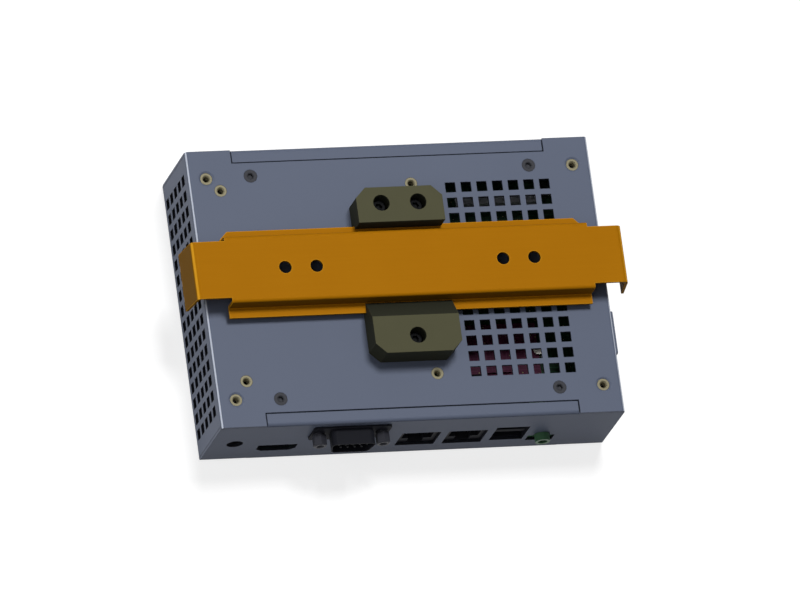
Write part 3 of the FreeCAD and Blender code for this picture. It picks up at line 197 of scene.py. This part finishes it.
# %% [markdown]
# ## Clouded colour
#
# No coat has one even colour. Its thickness, oxide and handling make slow clouds of a few per
# cent, and without them a large plane looks cut from paper. A noise of a real size multiplies the
# colour. At about a millimetre the same noise makes grain or tool marks, and it is given back as
# well, so that the bumps can follow it.

# %% Clouds
def mottled(tree, colour, size_mm, detail, darkest, lightest):
    """A colour with lighter and darker patches of this size, and the noise that makes them."""
    place = add(tree, "TexCoord", out="Object")
    cloud = add(tree, "TexNoise", {"Vector": place, "Scale": per_mm(size_mm), "Detail": detail},
                "Fac")
    level = add(tree, "MapRange", {"Value": cloud, "To Min": darkest, "To Max": lightest})
    return add(tree, "Mix", {"Factor": 1.0, FIRST: colour, SECOND: level}, MIXED,
               data_type="RGBA", blend_type="MULTIPLY"), cloud


print("clouds of 35 mm have a noise scale of", round(per_mm(35), 1))

# %% [markdown]
# ## Faces inside the cut-outs
#
# The small faces inside vents and cut-outs are painted dark, as painted shade in these recesses.
# They lie within the sheet's thickness, look sideways and stay clear of the sheet's own ends. One
# row of numbers for each direction of the case tells that, which is far shorter than a list of
# faces.

# %% Mask for cut faces
CUT_FACES = [("X", 79.05, 80.05, {"Y": 53.0}), ("Y", 55.15, 56.15, {"X": 76.0, "Z": 34.0}),
             ("Z", 35.75, 36.75, {"Y": 50.0})]   # through the sheet from and to, its ends, in mm
SIDEWAYS_FROM, SIDEWAYS_FULL = 0.3, 0.1
STEP_BLUR = 0.03 * MM


def beyond(tree, axis, distance_mm):
    """1 where a point lies further than this from the middle along an axis of the case."""
    place = add(tree, "TexCoord", out="Object")
    far = add(tree, "Math", {0: add(tree, "SeparateXYZ", {"Vector": place}, axis)},
              operation="ABSOLUTE")
    step = distance_mm * MM
    return add(tree, "MapRange",
               {"Value": far, "From Min": step - STEP_BLUR, "From Max": step + STEP_BLUR})


def inside_cut(tree, axis, start, end, limits):
    """1 on the faces inside the cut-outs of the sheets that face along an axis."""
    outside = beyond(tree, axis, end)
    for along, limit in limits.items():
        outside = add(tree, "Math", {0: outside, 1: beyond(tree, along, limit)},
                      operation="MAXIMUM")
    sheet = add(tree, "Math", {0: beyond(tree, axis, start), 1: outside}, operation="SUBTRACT")
    sideways = add(tree, "MapRange", {"Value": facing(tree, axis), "From Min": SIDEWAYS_FROM,
                                      "From Max": SIDEWAYS_FULL})
    return add(tree, "Math", {0: sheet, 1: sideways}, operation="MULTIPLY", use_clamp=True)


print("directions with cut faces:", [axis for axis, *_ in CUT_FACES])

# %% [markdown]
# ## Powder coat
#
# The case is cold-rolled steel, folded and then powder coated in a blue grey. Powder melts into a
# skin of very small soft bumps, called orange peel, which breaks up reflections and gives the
# satin look. The bumps are about 0.5 mm across on the real coat, and they are drawn 1.1 mm across
# so that they show at all. A dark line along cut edges and seams is painted shade, the light line
# on the outsides of the long folds is a painted highlight, and the faces inside the cut-outs are
# painted dark as shade. Masks add these one after another on a plain colour, which keeps the
# whole coat in one material.

# %% Powder coat
# the dark edge colour is painted shade along cut edges and seams, the light fold colour is a
# painted highlight on the outsides of the long folds, and the darkest colour is painted shade
# inside the cut-outs
COAT_BLUE_GREY, COAT_EDGE_SHADE = "#5F677A", "#2C303C"
COAT_FOLD_HIGHLIGHT, COAT_CUT_HOLE_SHADE = "#CDD4E2", "#16181E"
COAT_EDGE_SHADE_MM, COAT_SOFT_EDGE_MM = 0.36, 0.2
COAT_PEEL_MM, COAT_PEEL_DEPTH_MM, COAT_PEEL_STRENGTH = 1.1, 0.05, 0.06
COAT_CLOUD_MM, COAT_DARKEST, COAT_LIGHTEST = 35.0, 0.965, 1.035
COAT_FOLD_FROM, COAT_FOLD_FULL, COAT_FOLDS_BEYOND_X = 0.42, 0.62, 78.4


def powder_coat():
    material, tree, shader = finish("powder_coated_sheet_steel", Roughness=0.5,
                                    Specular_IOR_Level=0.1)
    cloudy, _ = mottled(tree, COAT_BLUE_GREY, COAT_CLOUD_MM, 2.0, COAT_DARKEST, COAT_LIGHTEST)
    # painted highlight along the outsides of the long folds
    fold_highlight = add(tree, "Math", {0: fold_mask(tree, COAT_FOLD_FROM, COAT_FOLD_FULL),
                              1: beyond(tree, "X", COAT_FOLDS_BEYOND_X)}, operation="MULTIPLY")
    colour = add(tree, "Mix", {"Factor": fold_highlight, FIRST: cloudy, SECOND: COAT_FOLD_HIGHLIGHT}, MIXED,
                 data_type="RGBA")
    unfolded = add(tree, "Math", {0: 1.0, 1: fold_highlight}, operation="SUBTRACT")
    # painted shade: a dark line along cut edges and seams, kept off the folds
    cut = add(tree, "Math", {0: edge_mask(tree, COAT_EDGE_SHADE_MM), 1: unfolded},
              operation="MULTIPLY")
    colour = add(tree, "Mix", {"Factor": cut, FIRST: colour, SECOND: COAT_EDGE_SHADE}, MIXED,
                 data_type="RGBA")
    # painted shade on the faces inside the vents and cut-outs
    for row in CUT_FACES:
        colour = add(tree, "Mix", {"Factor": inside_cut(tree, *row), FIRST: colour,
                                   SECOND: COAT_CUT_HOLE_SHADE}, MIXED, data_type="RGBA")
    place = add(tree, "TexCoord", out="Object")
    peel = add(tree, "TexNoise", {"Vector": place, "Scale": per_mm(COAT_PEEL_MM), "Detail": 1.0},
               "Fac")
    soft = add(tree, "Bevel", {"Radius": COAT_SOFT_EDGE_MM * MM}, samples=SOFT_SAMPLES)
    join(tree, shader, Base_Color=colour,
         Normal=add(tree, "Bump", {"Height": peel, "Strength": COAT_PEEL_STRENGTH,
                                   "Distance": COAT_PEEL_DEPTH_MM * MM,
                                   "Normal": soft}))
    return material


FINISHES = {"body_paint": powder_coat()}
print("made", FINISHES["body_paint"].name)

# %% [markdown]
# ## Chromated rail steel
#
# Top-hat rail is rolled from a steel strip, zinc plated and then dipped in yellow chromate, which
# gives the deep amber colour. The film is thin and its thickness wanders, which shows as slow
# clouds. The rolls leave faint lines along the strip, and a noise stretched along X draws those
# without an image file. The side walls and folded ends are painted a darker brown, as painted
# shade on faces that turn from the light, and the cut edges and the outsides of the end folds get
# a painted highlight. The film dulls the metal under it, so the metallic value is low.

# %% Chromated rail
CHROMATE_AMBER, CHROMATE_THIN = "#A46A06", "#AC710A"
# the edge colour is a painted highlight on cut edges and fold outsides, and the side colour is
# painted shade on side walls and folded ends
CHROMATE_EDGE_HIGHLIGHT, CHROMATE_SIDE_SHADE = "#D89A24", "#74500A"
CHROMATE_CLOUD_MM, CHROMATE_THIN_SHARE = 28.0, 0.55
CHROMATE_THIN_FROM, CHROMATE_THIN_FULL = 0.3, 0.7
CHROMATE_EDGE_MM, CHROMATE_SOFT_EDGE_MM = 0.7, 0.25
CHROMATE_SIDE_SHADE_FROM, CHROMATE_SIDE_SHADE_FULL = 0.75, 0.2
CHROMATE_FOLD_FROM, CHROMATE_FOLD_FULL = 0.4, 0.6
ROLL_LINE_MM = 0.9             # real roll lines are about 0.1 mm apart, too fine to show
ROLL_LINE_STRETCH, ROLL_LINE_SHARE = 0.03, 0.35
ROLL_LINE_DEPTH_MM, ROLL_LINE_STRENGTH = 0.03, 0.05


def chromated_steel():
    material, tree, shader = finish("yellow_chromated_rail_steel", Roughness=0.55, Metallic=0.06,
                                    Specular_IOR_Level=0.02)
    place = add(tree, "TexCoord", out="Object")
    along = add(tree, "Mapping", {"Vector": place, "Scale": (ROLL_LINE_STRETCH, 1.0, 1.0)})
    lines = add(tree, "TexNoise", {"Vector": along, "Scale": per_mm(ROLL_LINE_MM), "Detail": 2.0},
                "Fac")
    clouds = add(tree, "TexNoise",
                 {"Vector": place, "Scale": per_mm(CHROMATE_CLOUD_MM), "Detail": 3.0}, "Fac")
    both = add(tree, "Mix", {"Factor": ROLL_LINE_SHARE, "A": clouds, "B": lines})
    thin = add(tree, "MapRange", {"Value": both, "From Min": CHROMATE_THIN_FROM,
                                  "From Max": CHROMATE_THIN_FULL,
                                  "To Max": CHROMATE_THIN_SHARE})
    colour = add(tree, "Mix", {"Factor": thin, FIRST: CHROMATE_AMBER, SECOND: CHROMATE_THIN},
                 MIXED, data_type="RGBA")
    # painted shade on faces that look sideways
    side_shade = add(tree, "MapRange", {"Value": facing(tree, "Z"), "From Min": CHROMATE_SIDE_SHADE_FROM,
                                  "From Max": CHROMATE_SIDE_SHADE_FULL})
    colour = add(tree, "Mix", {"Factor": side_shade, FIRST: colour, SECOND: CHROMATE_SIDE_SHADE}, MIXED,
                 data_type="RGBA")
    # painted highlight on cut edges and the outsides of the end folds
    edge_highlight = add(tree, "Math", {0: edge_mask(tree, CHROMATE_EDGE_MM),
                                1: fold_mask(tree, CHROMATE_FOLD_FROM, CHROMATE_FOLD_FULL)},
                 operation="MAXIMUM")
    colour = add(tree, "Mix", {"Factor": edge_highlight, FIRST: colour, SECOND: CHROMATE_EDGE_HIGHLIGHT}, MIXED,
                 data_type="RGBA")
    soft = add(tree, "Bevel", {"Radius": CHROMATE_SOFT_EDGE_MM * MM}, samples=SOFT_SAMPLES)
    join(tree, shader, Base_Color=colour,
         Normal=add(tree, "Bump", {"Height": lines, "Strength": ROLL_LINE_STRENGTH,
                                   "Distance": ROLL_LINE_DEPTH_MM * MM,
                                   "Normal": soft}))
    return material


FINISHES["rail_steel"] = chromated_steel()
print("made", FINISHES["rail_steel"].name)

# %% [markdown]
# ## Olive clip
#
# The clip is one milled block of aluminium with an olive conversion coat. The coat is thin and
# dull, and the cutter's fine arcs stay visible under it. The sides and the steep ramp are painted
# darker than the milled top, as painted shade on faces that turn from the light, and worn edges
# are a little brighter. Very shallow rings of a wave texture stand for the cutter marks, since
# they are evenly spaced arcs, which a noise can't give.

# %% Olive conversion coat
# the side colour is painted shade for the sides and the ramp
OLIVE_COAT, OLIVE_SIDE_SHADE, OLIVE_WORN = "#504F3B", "#2C2D24", "#6B6A52"
OLIVE_CLOUD_MM, OLIVE_DARKEST, OLIVE_LIGHTEST = 9.0, 0.94, 1.06
OLIVE_SIDE_SHADE_FROM, OLIVE_SIDE_SHADE_FULL = 0.98, 0.8
OLIVE_WORN_EDGE_MM, OLIVE_WORN_SHARE = 0.3, 0.5
CUTTER_MARK_MM = 1.973         # real feed marks are about 0.2 mm apart, too fine to show
CUTTER_MARK_DEPTH_MM, CUTTER_MARK_STRENGTH, CUTTER_WANDER = 0.02, 0.05, 0.6
RINGS_PER_UNIT = 20 / (2 * math.pi)     # what a wave texture makes at a scale of 1


def olive_coat():
    material, tree, shader = finish("olive_chromated_aluminium", Roughness=0.6, Metallic=0.06,
                                    Specular_IOR_Level=0.04)
    colour, _ = mottled(tree, OLIVE_COAT, OLIVE_CLOUD_MM, 3.0, OLIVE_DARKEST, OLIVE_LIGHTEST)
    # painted shade on faces that look sideways
    side_shade = add(tree, "MapRange", {"Value": facing(tree, "Z"), "From Min": OLIVE_SIDE_SHADE_FROM,
                                  "From Max": OLIVE_SIDE_SHADE_FULL})
    colour = add(tree, "Mix", {"Factor": side_shade, FIRST: colour, SECOND: OLIVE_SIDE_SHADE}, MIXED,
                 data_type="RGBA")
    worn = add(tree, "Math", {0: edge_mask(tree, OLIVE_WORN_EDGE_MM), 1: OLIVE_WORN_SHARE},
               operation="MULTIPLY")
    colour = add(tree, "Mix", {"Factor": worn, FIRST: colour, SECOND: OLIVE_WORN}, MIXED,
                 data_type="RGBA")
    place = add(tree, "TexCoord", out="Object")
    marks = add(tree, "TexWave", {"Vector": place, "Distortion": CUTTER_WANDER,
                                  "Scale": per_mm(CUTTER_MARK_MM) / RINGS_PER_UNIT}, "Fac",
                wave_type="RINGS", rings_direction="Z")
    soft = add(tree, "Bevel", {"Radius": OLIVE_WORN_EDGE_MM * MM}, samples=SOFT_SAMPLES)
    join(tree, shader, Base_Color=colour,
         Normal=add(tree, "Bump", {"Height": marks, "Strength": CUTTER_MARK_STRENGTH,
                                   "Distance": CUTTER_MARK_DEPTH_MM * MM,
                                   "Normal": soft}))
    return material


FINISHES["clip_metal"] = olive_coat()
print("made", FINISHES["clip_metal"].name)

# %% [markdown]
# ## Plain metals
#
# Turned brass, black oxide on steel, nickel plate, milled aluminium and gold plate differ in
# colour, in roughness and in the marks that the tool left. One function takes those, so the list
# reads like a parts list. Where an oxide, tarnish or a dull dark plating hides the metal, the
# metallic value is low, since such a film scatters light as paint does. Bright metals are fully
# metallic and keep the shader's default IOR, because their look comes from the base colour. Real
# tool marks are about 0.1 mm apart, and they are drawn at 0.5 to 1.2 mm so that they show.

# %% Metals
METAL_DARKEST, METAL_LIGHTEST, METAL_MARK_STRENGTH = 0.9, 1.08, 0.1


def plain_metal(name, colour, roughness, mark_mm, mark_depth_mm, metallic=1.0, gloss=0.2):
    material, tree, shader = finish(name, Roughness=roughness, Metallic=metallic,
                                    Specular_IOR_Level=gloss)
    shade, marks = mottled(tree, colour, mark_mm, 2.0, METAL_DARKEST, METAL_LIGHTEST)
    join(tree, shader, Base_Color=shade,
         Normal=add(tree, "Bump", {"Height": marks, "Strength": METAL_MARK_STRENGTH,
                                   "Distance": mark_depth_mm * MM}))
    return material


FINISHES["insert_brass"] = plain_metal("turned_brass", "#837D64", 0.55, 0.8, 0.02, 0.15)
FINISHES["screw_steel"] = plain_metal("black_oxide_steel", "#37383D", 0.55, 0.7, 0.02, 0.1, 0.1)
FINISHES["plated_steel"] = plain_metal("nickel_plated_steel", "#A9A8A4", 0.3, 1.2, 0.02)
FINISHES["spreader_aluminium"] = plain_metal("milled_aluminium", "#B4B6B9", 0.4, 0.9, 0.02)
FINISHES["contact_gold"] = plain_metal("gold_plated_contacts", "#D9B45A", 0.25, 0.5, 0.01)
black_nickel = plain_metal("black_nickel_shells", "#17181E", 0.6, 1.2, 0.02, 0.0, 0.05)
dark_steel = plain_metal("blackened_hexagons", "#2E2F36", 0.45, 0.7, 0.02, 0.2)
black_oxide = plain_metal("black_oxide_cap_screws", "#141517", 0.6, 0.7, 0.02, 0.0, 0.05)
dark_pins = plain_metal("tinned_pins", "#232327", 0.4, 0.5, 0.01, 0.2, 0.1)
print("metals:", sorted(FINISHES))

# %% [markdown]
# ## Moulded plastics
#
# Connector bodies are glass-filled plastic from a spark-eroded mould, which gives a fine even
# grain and a soft sheen. The grain is about 0.1 mm on the real part and is drawn at 0.5 mm. The
# lead's jacket is soft PVC and the pad is silicone, so those two are rougher and a little paler.

# %% Plastics
PLASTIC_GRAIN_MM, PLASTIC_GRAIN_STRENGTH = 0.5, 0.15
PLASTIC_DARKEST, PLASTIC_LIGHTEST = 0.9, 1.1


def moulded(name, colour, roughness, grain_depth_mm=0.02, gloss=0.3):
    material, tree, shader = finish(name, Roughness=roughness, Specular_IOR_Level=gloss)
    shade, grain = mottled(tree, colour, PLASTIC_GRAIN_MM, 1.0, PLASTIC_DARKEST,
                           PLASTIC_LIGHTEST)
    join(tree, shader, Base_Color=shade,
         Normal=add(tree, "Bump", {"Height": grain, "Strength": PLASTIC_GRAIN_STRENGTH,
                                   "Distance": grain_depth_mm * MM}))
    return material


FINISHES["black_plastic"] = moulded("black_glass_filled_plastic", "#15161B", 0.55, gloss=0.1)
FINISHES["green_plastic"] = moulded("green_moulded_plastic", "#3C6344", 0.4)
FINISHES["header_grey"] = moulded("grey_header_nylon", "#C6C9CF", 0.5)
FINISHES["pad_grey"] = moulded("silicone_pad", "#8D9196", 0.7, 0.04)
FINISHES["lead_grey"] = moulded("pvc_jacket", "#6E7074", 0.5)
FINISHES["chip_black"] = moulded("moulded_epoxy", "#1C1D20", 0.55, 0.03)
print("plastics added, finishes:", len(FINISHES))

# %% [markdown]
# ## Circuit boards
#
# A board is glass cloth under a coloured solder mask. Copper traces under the mask show as
# slightly lighter lines, and the small pads are bare tinned metal. Real traces are 0.15 mm wide;
# here they are wider and sparser, so that they can be seen through the vents. A brick pattern
# turned to two directions gives runs that stop and start, which looks more like routing than a
# plain grid would.

# %% Boards
TRACE_PITCH_MM, TRACE_SHARE, TRACE_LENGTH = 1.6, 0.12, 9.0
TRACE_DEPTH_MM, TRACE_STRENGTH, TRACE_OFFSET = 0.03, 0.3, 0.37
PAD_PITCH_MM, PAD_SHARE, PAD_COLOUR = 2.4, 0.12, "#8D845F"
ROUTING_PATCH_MM, ROUTING_SPLIT = 14.0, 0.5


def solder_mask(name, mask, trace):
    material, tree, shader = finish(name, Roughness=0.45, Specular_IOR_Level=0.1)
    place = add(tree, "TexCoord", out="Object")
    runs = []
    for turned_by in (0.0, math.pi / 2):
        spun = add(tree, "Mapping", {"Vector": place, "Rotation": (0, 0, turned_by)})
        runs.append(add(tree, "TexBrick",
                        {"Vector": spun, "Scale": per_mm(TRACE_PITCH_MM), "Row Height": 1.0,
                         "Mortar Size": TRACE_SHARE, "Brick Width": TRACE_LENGTH}, "Fac",
                        offset=TRACE_OFFSET))
    patches = add(tree, "TexNoise",
                  {"Vector": place, "Scale": per_mm(ROUTING_PATCH_MM), "Detail": 0.0}, "Fac")
    pick = add(tree, "Math", {0: patches, 1: ROUTING_SPLIT}, operation="GREATER_THAN")
    traces = add(tree, "Mix", {"Factor": pick, "A": runs[0], "B": runs[1]})
    colour = add(tree, "Mix", {"Factor": traces, FIRST: mask, SECOND: trace}, MIXED,
                 data_type="RGBA")
    dots = add(tree, "TexVoronoi", {"Vector": place, "Scale": per_mm(PAD_PITCH_MM)}, "Distance")
    pads = add(tree, "Math", {0: dots, 1: PAD_SHARE}, operation="LESS_THAN")
    colour = add(tree, "Mix", {"Factor": pads, FIRST: colour, SECOND: PAD_COLOUR}, MIXED,
                 data_type="RGBA")
    join(tree, shader, Base_Color=colour,
         Normal=add(tree, "Bump", {"Height": traces, "Strength": TRACE_STRENGTH,
                                   "Distance": TRACE_DEPTH_MM * MM}))
    return material


FINISHES["board_green"] = solder_mask("green_solder_mask", "#15301F", "#1D422C")
FINISHES["card_red"] = solder_mask("purple_red_solder_mask", "#521E3C", "#5E2947")
print("boards added, finishes:", len(FINISHES))

# %% [markdown]
# ## Dress the CAD nodes
#
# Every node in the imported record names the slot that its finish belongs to, so one loop dresses
# them all, and a node that is added later gets its finish without another line here. Connector
# shells share a slot with bright parts inside the case but are plated black, so they, the clip's
# screws and the pins are listed by node.

# %% Assign finishes
NODE_FINISHES = {
    "serial_shell": black_nickel, "serial_jackscrews": dark_steel, "hdmi_port": black_nickel,
    "lan_can_1": black_nickel, "lan_can_2": black_nickel, "usb_can": black_nickel,
    "serial_pins": dark_pins, "clip_screws": black_oxide,
}
slot_of = {row["node"]: row["material_slot"] for row in frame["record"]["subparts"]}
for node, piece in frame["nodes"].items():
    for holder in piece.material_slots:
        holder.material = NODE_FINISHES.get(node, FINISHES[slot_of[node]])
print("dressed", len(slot_of), "nodes with", len(set(slot_of.values())), "finishes")

# %% [markdown]
# ## Rings for turned parts
#
# The CAD gives each screw and insert its true place and outer size, but keeps it plain, because
# every thread turn would cost the physics thousands of faces. Here they get what a lathe and a
# broach leave: chamfers, knurls, sockets and threads. A turned part is a list of rings, from the
# middle of its front face over the rim to its tail, and each ring is a radius and a height from
# the front in millimetres. A ring can also be a hexagon, whose size is measured to its flats, or
# knurled. The thread is drawn as plain grooves, since its slope over half a millimetre can't be
# seen.

# %% Rings
TURNS = 48                     # points in a ring, a multiple of 6 so that hexagons get corners
KNURL_DEPTH, THREAD_PITCH = 0.12, 0.5


def ring_radius(size, shape, index):
    """How far out the ring's point lies, for a round, hexagonal or knurled ring."""
    if shape == "hexagon":
        corner = math.pi / 3
        return size / math.cos((2 * math.pi * index / TURNS) % corner - corner / 2)
    return size - KNURL_DEPTH * (index % 2) if shape == "knurl" else size


def thread(radius, depth, top, foot):
    """The rings of a thread's grooves between two heights, cut this much into the radius."""
    turns = max(1, round(abs(top - foot) / THREAD_PITCH))
    step = (foot - top) / turns
    rings = []
    for turn in range(turns):
        rings += [(radius, top + turn * step), (radius - depth, top + (turn + 0.5) * step)]
    return rings + [(radius, foot)]


def turned_part(mesh, rings, seat):
    """Adds one turned part to a mesh; seat turns and moves it from the origin, front up."""
    rows = []
    for size, height, *shape in rings:
        row = []
        for index in range(TURNS):
            angle = 2 * math.pi * index / TURNS
            out = ring_radius(size, shape[0] if shape else "round", index)
            point = Vector((out * math.cos(angle), out * math.sin(angle), height)) * MM
            row.append(mesh.verts.new(seat @ point))
        rows.append(row)
    for upper, lower in zip(rows, rows[1:]):
        for index in range(TURNS):
            ahead = (index + 1) % TURNS
            mesh.faces.new((upper[index], lower[index], lower[ahead], upper[ahead]))


print("a full thread of 4 mm has", len(thread(1.25, 0.2, 0, -4)), "rings")

# %% [markdown]
# ## Find where turned parts go
#
# The places are read from the CAD nodes themselves, so the parts follow if the CAD moves them.
# One node holds several screws. Vertices that are joined by edges belong together, and following
# the edges from one vertex finds a whole screw, which is simpler than a list of places.

# %% Places
SAME_POINT = 0.001 * MM


def solids_of(node):
    """The lowest and highest corner of each separate solid of a CAD node."""
    piece = frame["nodes"][node]
    mesh = bmesh.new()
    mesh.from_mesh(piece.data)
    mesh.transform(piece.matrix_world)
    bmesh.ops.remove_doubles(mesh, verts=mesh.verts, dist=SAME_POINT)
    corners, left = [], set(mesh.verts)
    while left:
        waiting, reached = [left.pop()], []
        while waiting:
            vert = waiting.pop()
            reached.append(vert.co.copy())
            near = {link.other_vert(vert) for link in vert.link_edges} & left
            left -= near
            waiting += near
        corners.append(tuple(Vector(pick(point[axis] for point in reached) for axis in range(3))
                             for pick in (min, max)))
    mesh.free()
    return sorted(corners, key=lambda pair: tuple(pair[0]))


print("case screws found:", len(solids_of("case_screws")))

# %% [markdown]
# ## Put turned parts in their places
#
# A screw in the underside has its front up, and one in the connector panel has it towards -Y, so
# a seat turns the rings and moves them there. Rings that shrink to the axis leave many points in
# one place, and these are merged, so each part is a closed skin. Faces around the axis meet at 7.5
# degrees and are shaded round, while corners over 32 degrees stay crisp.

# %% Replace a node
MERGE_RINGS = 0.0005 * MM
CREASE = math.radians(32)
TOWARDS_PANEL = Matrix(((0, -1, 0), (0, 0, -1), (1, 0, 0))).to_4x4()


def replace_with_turned(node, rings, front="top"):
    """Puts a turned part in place of each solid of a node, its front up or towards -Y."""
    mesh = bmesh.new()
    for low, high in solids_of(node):
        middle = (low + high) / 2
        if front == "top":
            seat = Matrix.Translation((middle.x, middle.y, high.z))
        else:
            seat = Matrix.Translation((middle.x, low.y, middle.z)) @ TOWARDS_PANEL
        turned_part(mesh, rings, seat)
    bmesh.ops.remove_doubles(mesh, verts=mesh.verts, dist=MERGE_RINGS)
    data = bpy.data.meshes.new("detailed_" + node)
    mesh.to_mesh(data)
    mesh.free()
    data.shade_smooth()
    data.set_sharp_from_angle(angle=CREASE)
    piece = bpy.data.objects.new("detailed_" + node, data)
    bpy.context.scene.collection.objects.link(piece)
    data.materials.append(frame["nodes"][node].material_slots[0].material)
    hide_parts(node)
    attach(piece, "root")
    print(node, "has", len(data.polygons), "faces now")


print("a turned part on the panel faces", tuple(TOWARDS_PANEL.to_3x3() @ Vector((0, 0, 1))))

# %% [markdown]
# ## Screws
#
# A countersunk case screw has a hexagon socket with a chamfered mouth. The clip's screws have
# cylinder heads with the same socket for the key and a knurled rim for the fingers. Both are made
# from rings, since a stock cylinder has neither socket nor thread.

# %% Case and clip screws
replace_with_turned("case_screws", [
    (0.0, -1.5), (0.98, -1.25, "hexagon"), (1.0, -0.3, "hexagon"), (1.42, 0.0),     # socket
    (2.5, 0.0), (2.66, -0.1), (2.66, -0.2), (1.5, -1.4),                            # head, cone
    *thread(1.45, 0.22, -1.8, -4.6), (1.1, -5.0), (0.0, -5.0)])
replace_with_turned("clip_screws", [
    (0.0, -1.8), (1.22, -1.55, "hexagon"), (1.25, -0.15, "hexagon"), (1.6, 0.0),    # socket
    (2.4, 0.0), (2.6, -0.2), (2.75, -0.4, "knurl"), (2.75, -2.8, "knurl"),          # head
    (2.65, -3.0), (1.45, -3.0), *thread(1.45, 0.22, -3.6, -7.2), (0.0, -7.4)])

# %% [markdown]
# ## Inserts
#
# A brass insert is turned on an automatic lathe. It has a thin flange, a groove, a coarse knurl
# that bites into the sheet and an M3 thread through its middle. Its rings start at the foot of the
# thread and run up the bore and down the outside, back to where they began.

# %% Threaded inserts
INSERT_RINGS = [
    *thread(1.35, 0.2, -3.9, -0.25), (1.55, 0.0), (2.3, 0.0), (2.4, -0.08), (2.4, -0.55),
    (2.1, -0.65), (2.1, -0.95), (2.4, -1.1, "knurl"), (2.4, -3.2, "knurl"), (2.1, -3.4),
    (2.1, -4.0), (1.35, -3.9)]
for node in ("mount_inserts", "corner_inserts"):
    replace_with_turned(node, INSERT_RINGS)

# %% [markdown]
# ## Serial port's small parts
#
# The jackscrews are hexagons with their corners turned off at the front and a threaded hole for
# the plug's screws. The pins have rounded tips, so that a plug finds them. Rings serve here too,
# only turned to face the panel's side.

# %% Jackscrews and pins
replace_with_turned("serial_jackscrews", [
    (0.0, -4.0), *thread(1.4, 0.2, -3.9, -0.35), (1.6, 0.0), (2.15, 0.0),           # hole
    (2.4, -0.4, "hexagon"), (2.4, -4.3, "hexagon"), (2.3, -4.45), (2.3, -5.0),      # hexagon
    (1.45, -5.0), (1.45, -6.8), (0.0, -6.8)], "panel")
replace_with_turned("serial_pins", [
    (0.0, 0.0), (0.2, -0.03), (0.36, -0.15), (0.46, -0.38), (0.5, -0.7), (0.5, -5.3),
    (0.0, -5.3)], "panel")

# %% [markdown]
# ## Floor
#
# A studio sets small products on a pale paper sweep. The sweep here looks white to the camera, to
# reflections and through glass, and gives plain grey bounce light to everything else, so the case
# is not lit from below by a lamp that isn't there. The shadow still falls on it.

# %% Floor
FLOOR_SIZE, FLOOR_DROP = 6.0, 0.05 * MM
FLOOR_GREY, FLOOR_GLOW, FLOOR_ROUGHNESS = "#B0B0B0", 0.75, 0.9


def shown_white(tree):
    """1 where the camera, a reflection or glass looks, and 0 where light only bounces."""
    camera_ray, glossy_ray, through_ray = (
        add(tree, "LightPath", out=ray)
        for ray in ("Is Camera Ray", "Is Glossy Ray", "Is Transmission Ray"))
    either = add(tree, "Math", {0: camera_ray, 1: glossy_ray}, operation="MAXIMUM")
    return add(tree, "Math", {0: either, 1: through_ray}, operation="MAXIMUM")


def studio_floor():
    mesh = bpy.data.meshes.new("floor")
    half = FLOOR_SIZE / 2
    mesh.from_pydata([(-half, -half, 0), (half, -half, 0), (half, half, 0), (-half, half, 0)],
                     [], [(0, 1, 2, 3)])
    floor = bpy.data.objects.new("floor", mesh)
    bpy.context.scene.collection.objects.link(floor)
    floor.location.z = cad_low.z - FLOOR_DROP
    material, tree, shader = finish("pale_paper_sweep", Roughness=FLOOR_ROUGHNESS,
                                    Specular_IOR_Level=0.0, Base_Color=linear(FLOOR_GREY),
                                    Emission_Color=linear(WHITE))
    join(tree, shader, Emission_Strength=add(tree, "Math", {0: shown_white(tree), 1: FLOOR_GLOW},
                                             operation="MULTIPLY"))
    mesh.materials.append(material)


studio_floor()
print("the floor is", FLOOR_SIZE, "m wide and", round(FLOOR_DROP / MM, 2), "mm below the case")

# %% [markdown]
# ## World
#
# The world does what the sweep does: it looks white and lights the case only a little. A bright
# world would fill every shadow, and the shadows tell how high the rail stands. The colours are
# matched under the standard view, which shows a colour as it is written.

# %% World
WORLD_LIGHT = 0.07


def studio_world():
    world = bpy.data.worlds.new("studio")
    world.use_nodes = True
    bpy.context.scene.world = world
    tree = world.node_tree
    background = tree.nodes["Background"]
    background.inputs["Color"].default_value = linear(WHITE)
    level = add(tree, "MapRange", {"Value": shown_white(tree), "To Min": WORLD_LIGHT})
    tree.links.new(level, background.inputs["Strength"])


studio_world()
bpy.context.scene.view_settings.view_transform = "Standard"
print("the world lights at", WORLD_LIGHT)

# %% [markdown]
# ## Lamps
#
# One soft key lamp stands a little behind the object, so the rail and the clip drop short dark
# shadows on their near side, which tell how high they stand. A weak wide lamp by the camera keeps
# those shadows from going black, and another lights the vented wall on the left. Together with
# the world they give a surface that faces up a level of nearly 0.9, and its sheen brings it near
# 1, at which a colour looks as it is written.

# %% Softboxes
LAMP_DISTANCE = 1.6            # in m
LAMPS = [("key", (0.08, 0.3, 1.0), 0.4, 0.71), ("near_fill", (-0.55, -0.35, 1.0), 0.9, 0.12),
         ("left_fill", (-1.0, 0.0, 0.1), 0.9, 0.37)]     # name, direction, size in m, level


def softbox(name, direction, size, level):
    """A square lamp of this level on what faces it, 1 being white. Returns its level upwards."""
    lamp = bpy.data.lights.new(name, "AREA")
    lamp.shape, lamp.size = "SQUARE", size
    # a matt surface spreads what it gets over pi, and so does a flat lamp with its watts
    lamp.energy = level * math.pi * LAMP_DISTANCE ** 2 * math.pi
    holder = bpy.data.objects.new(name, lamp)
    away = Vector(direction).normalized()
    holder.location = away * LAMP_DISTANCE
    holder.rotation_mode = "QUATERNION"
    holder.rotation_quaternion = away.to_track_quat("Z", "Y")
    bpy.context.scene.collection.objects.link(holder)
    return level * away.z


upward = WORLD_LIGHT + sum(softbox(*lamp) for lamp in LAMPS)
print("level on a surface that faces up:", round(upward, 2))
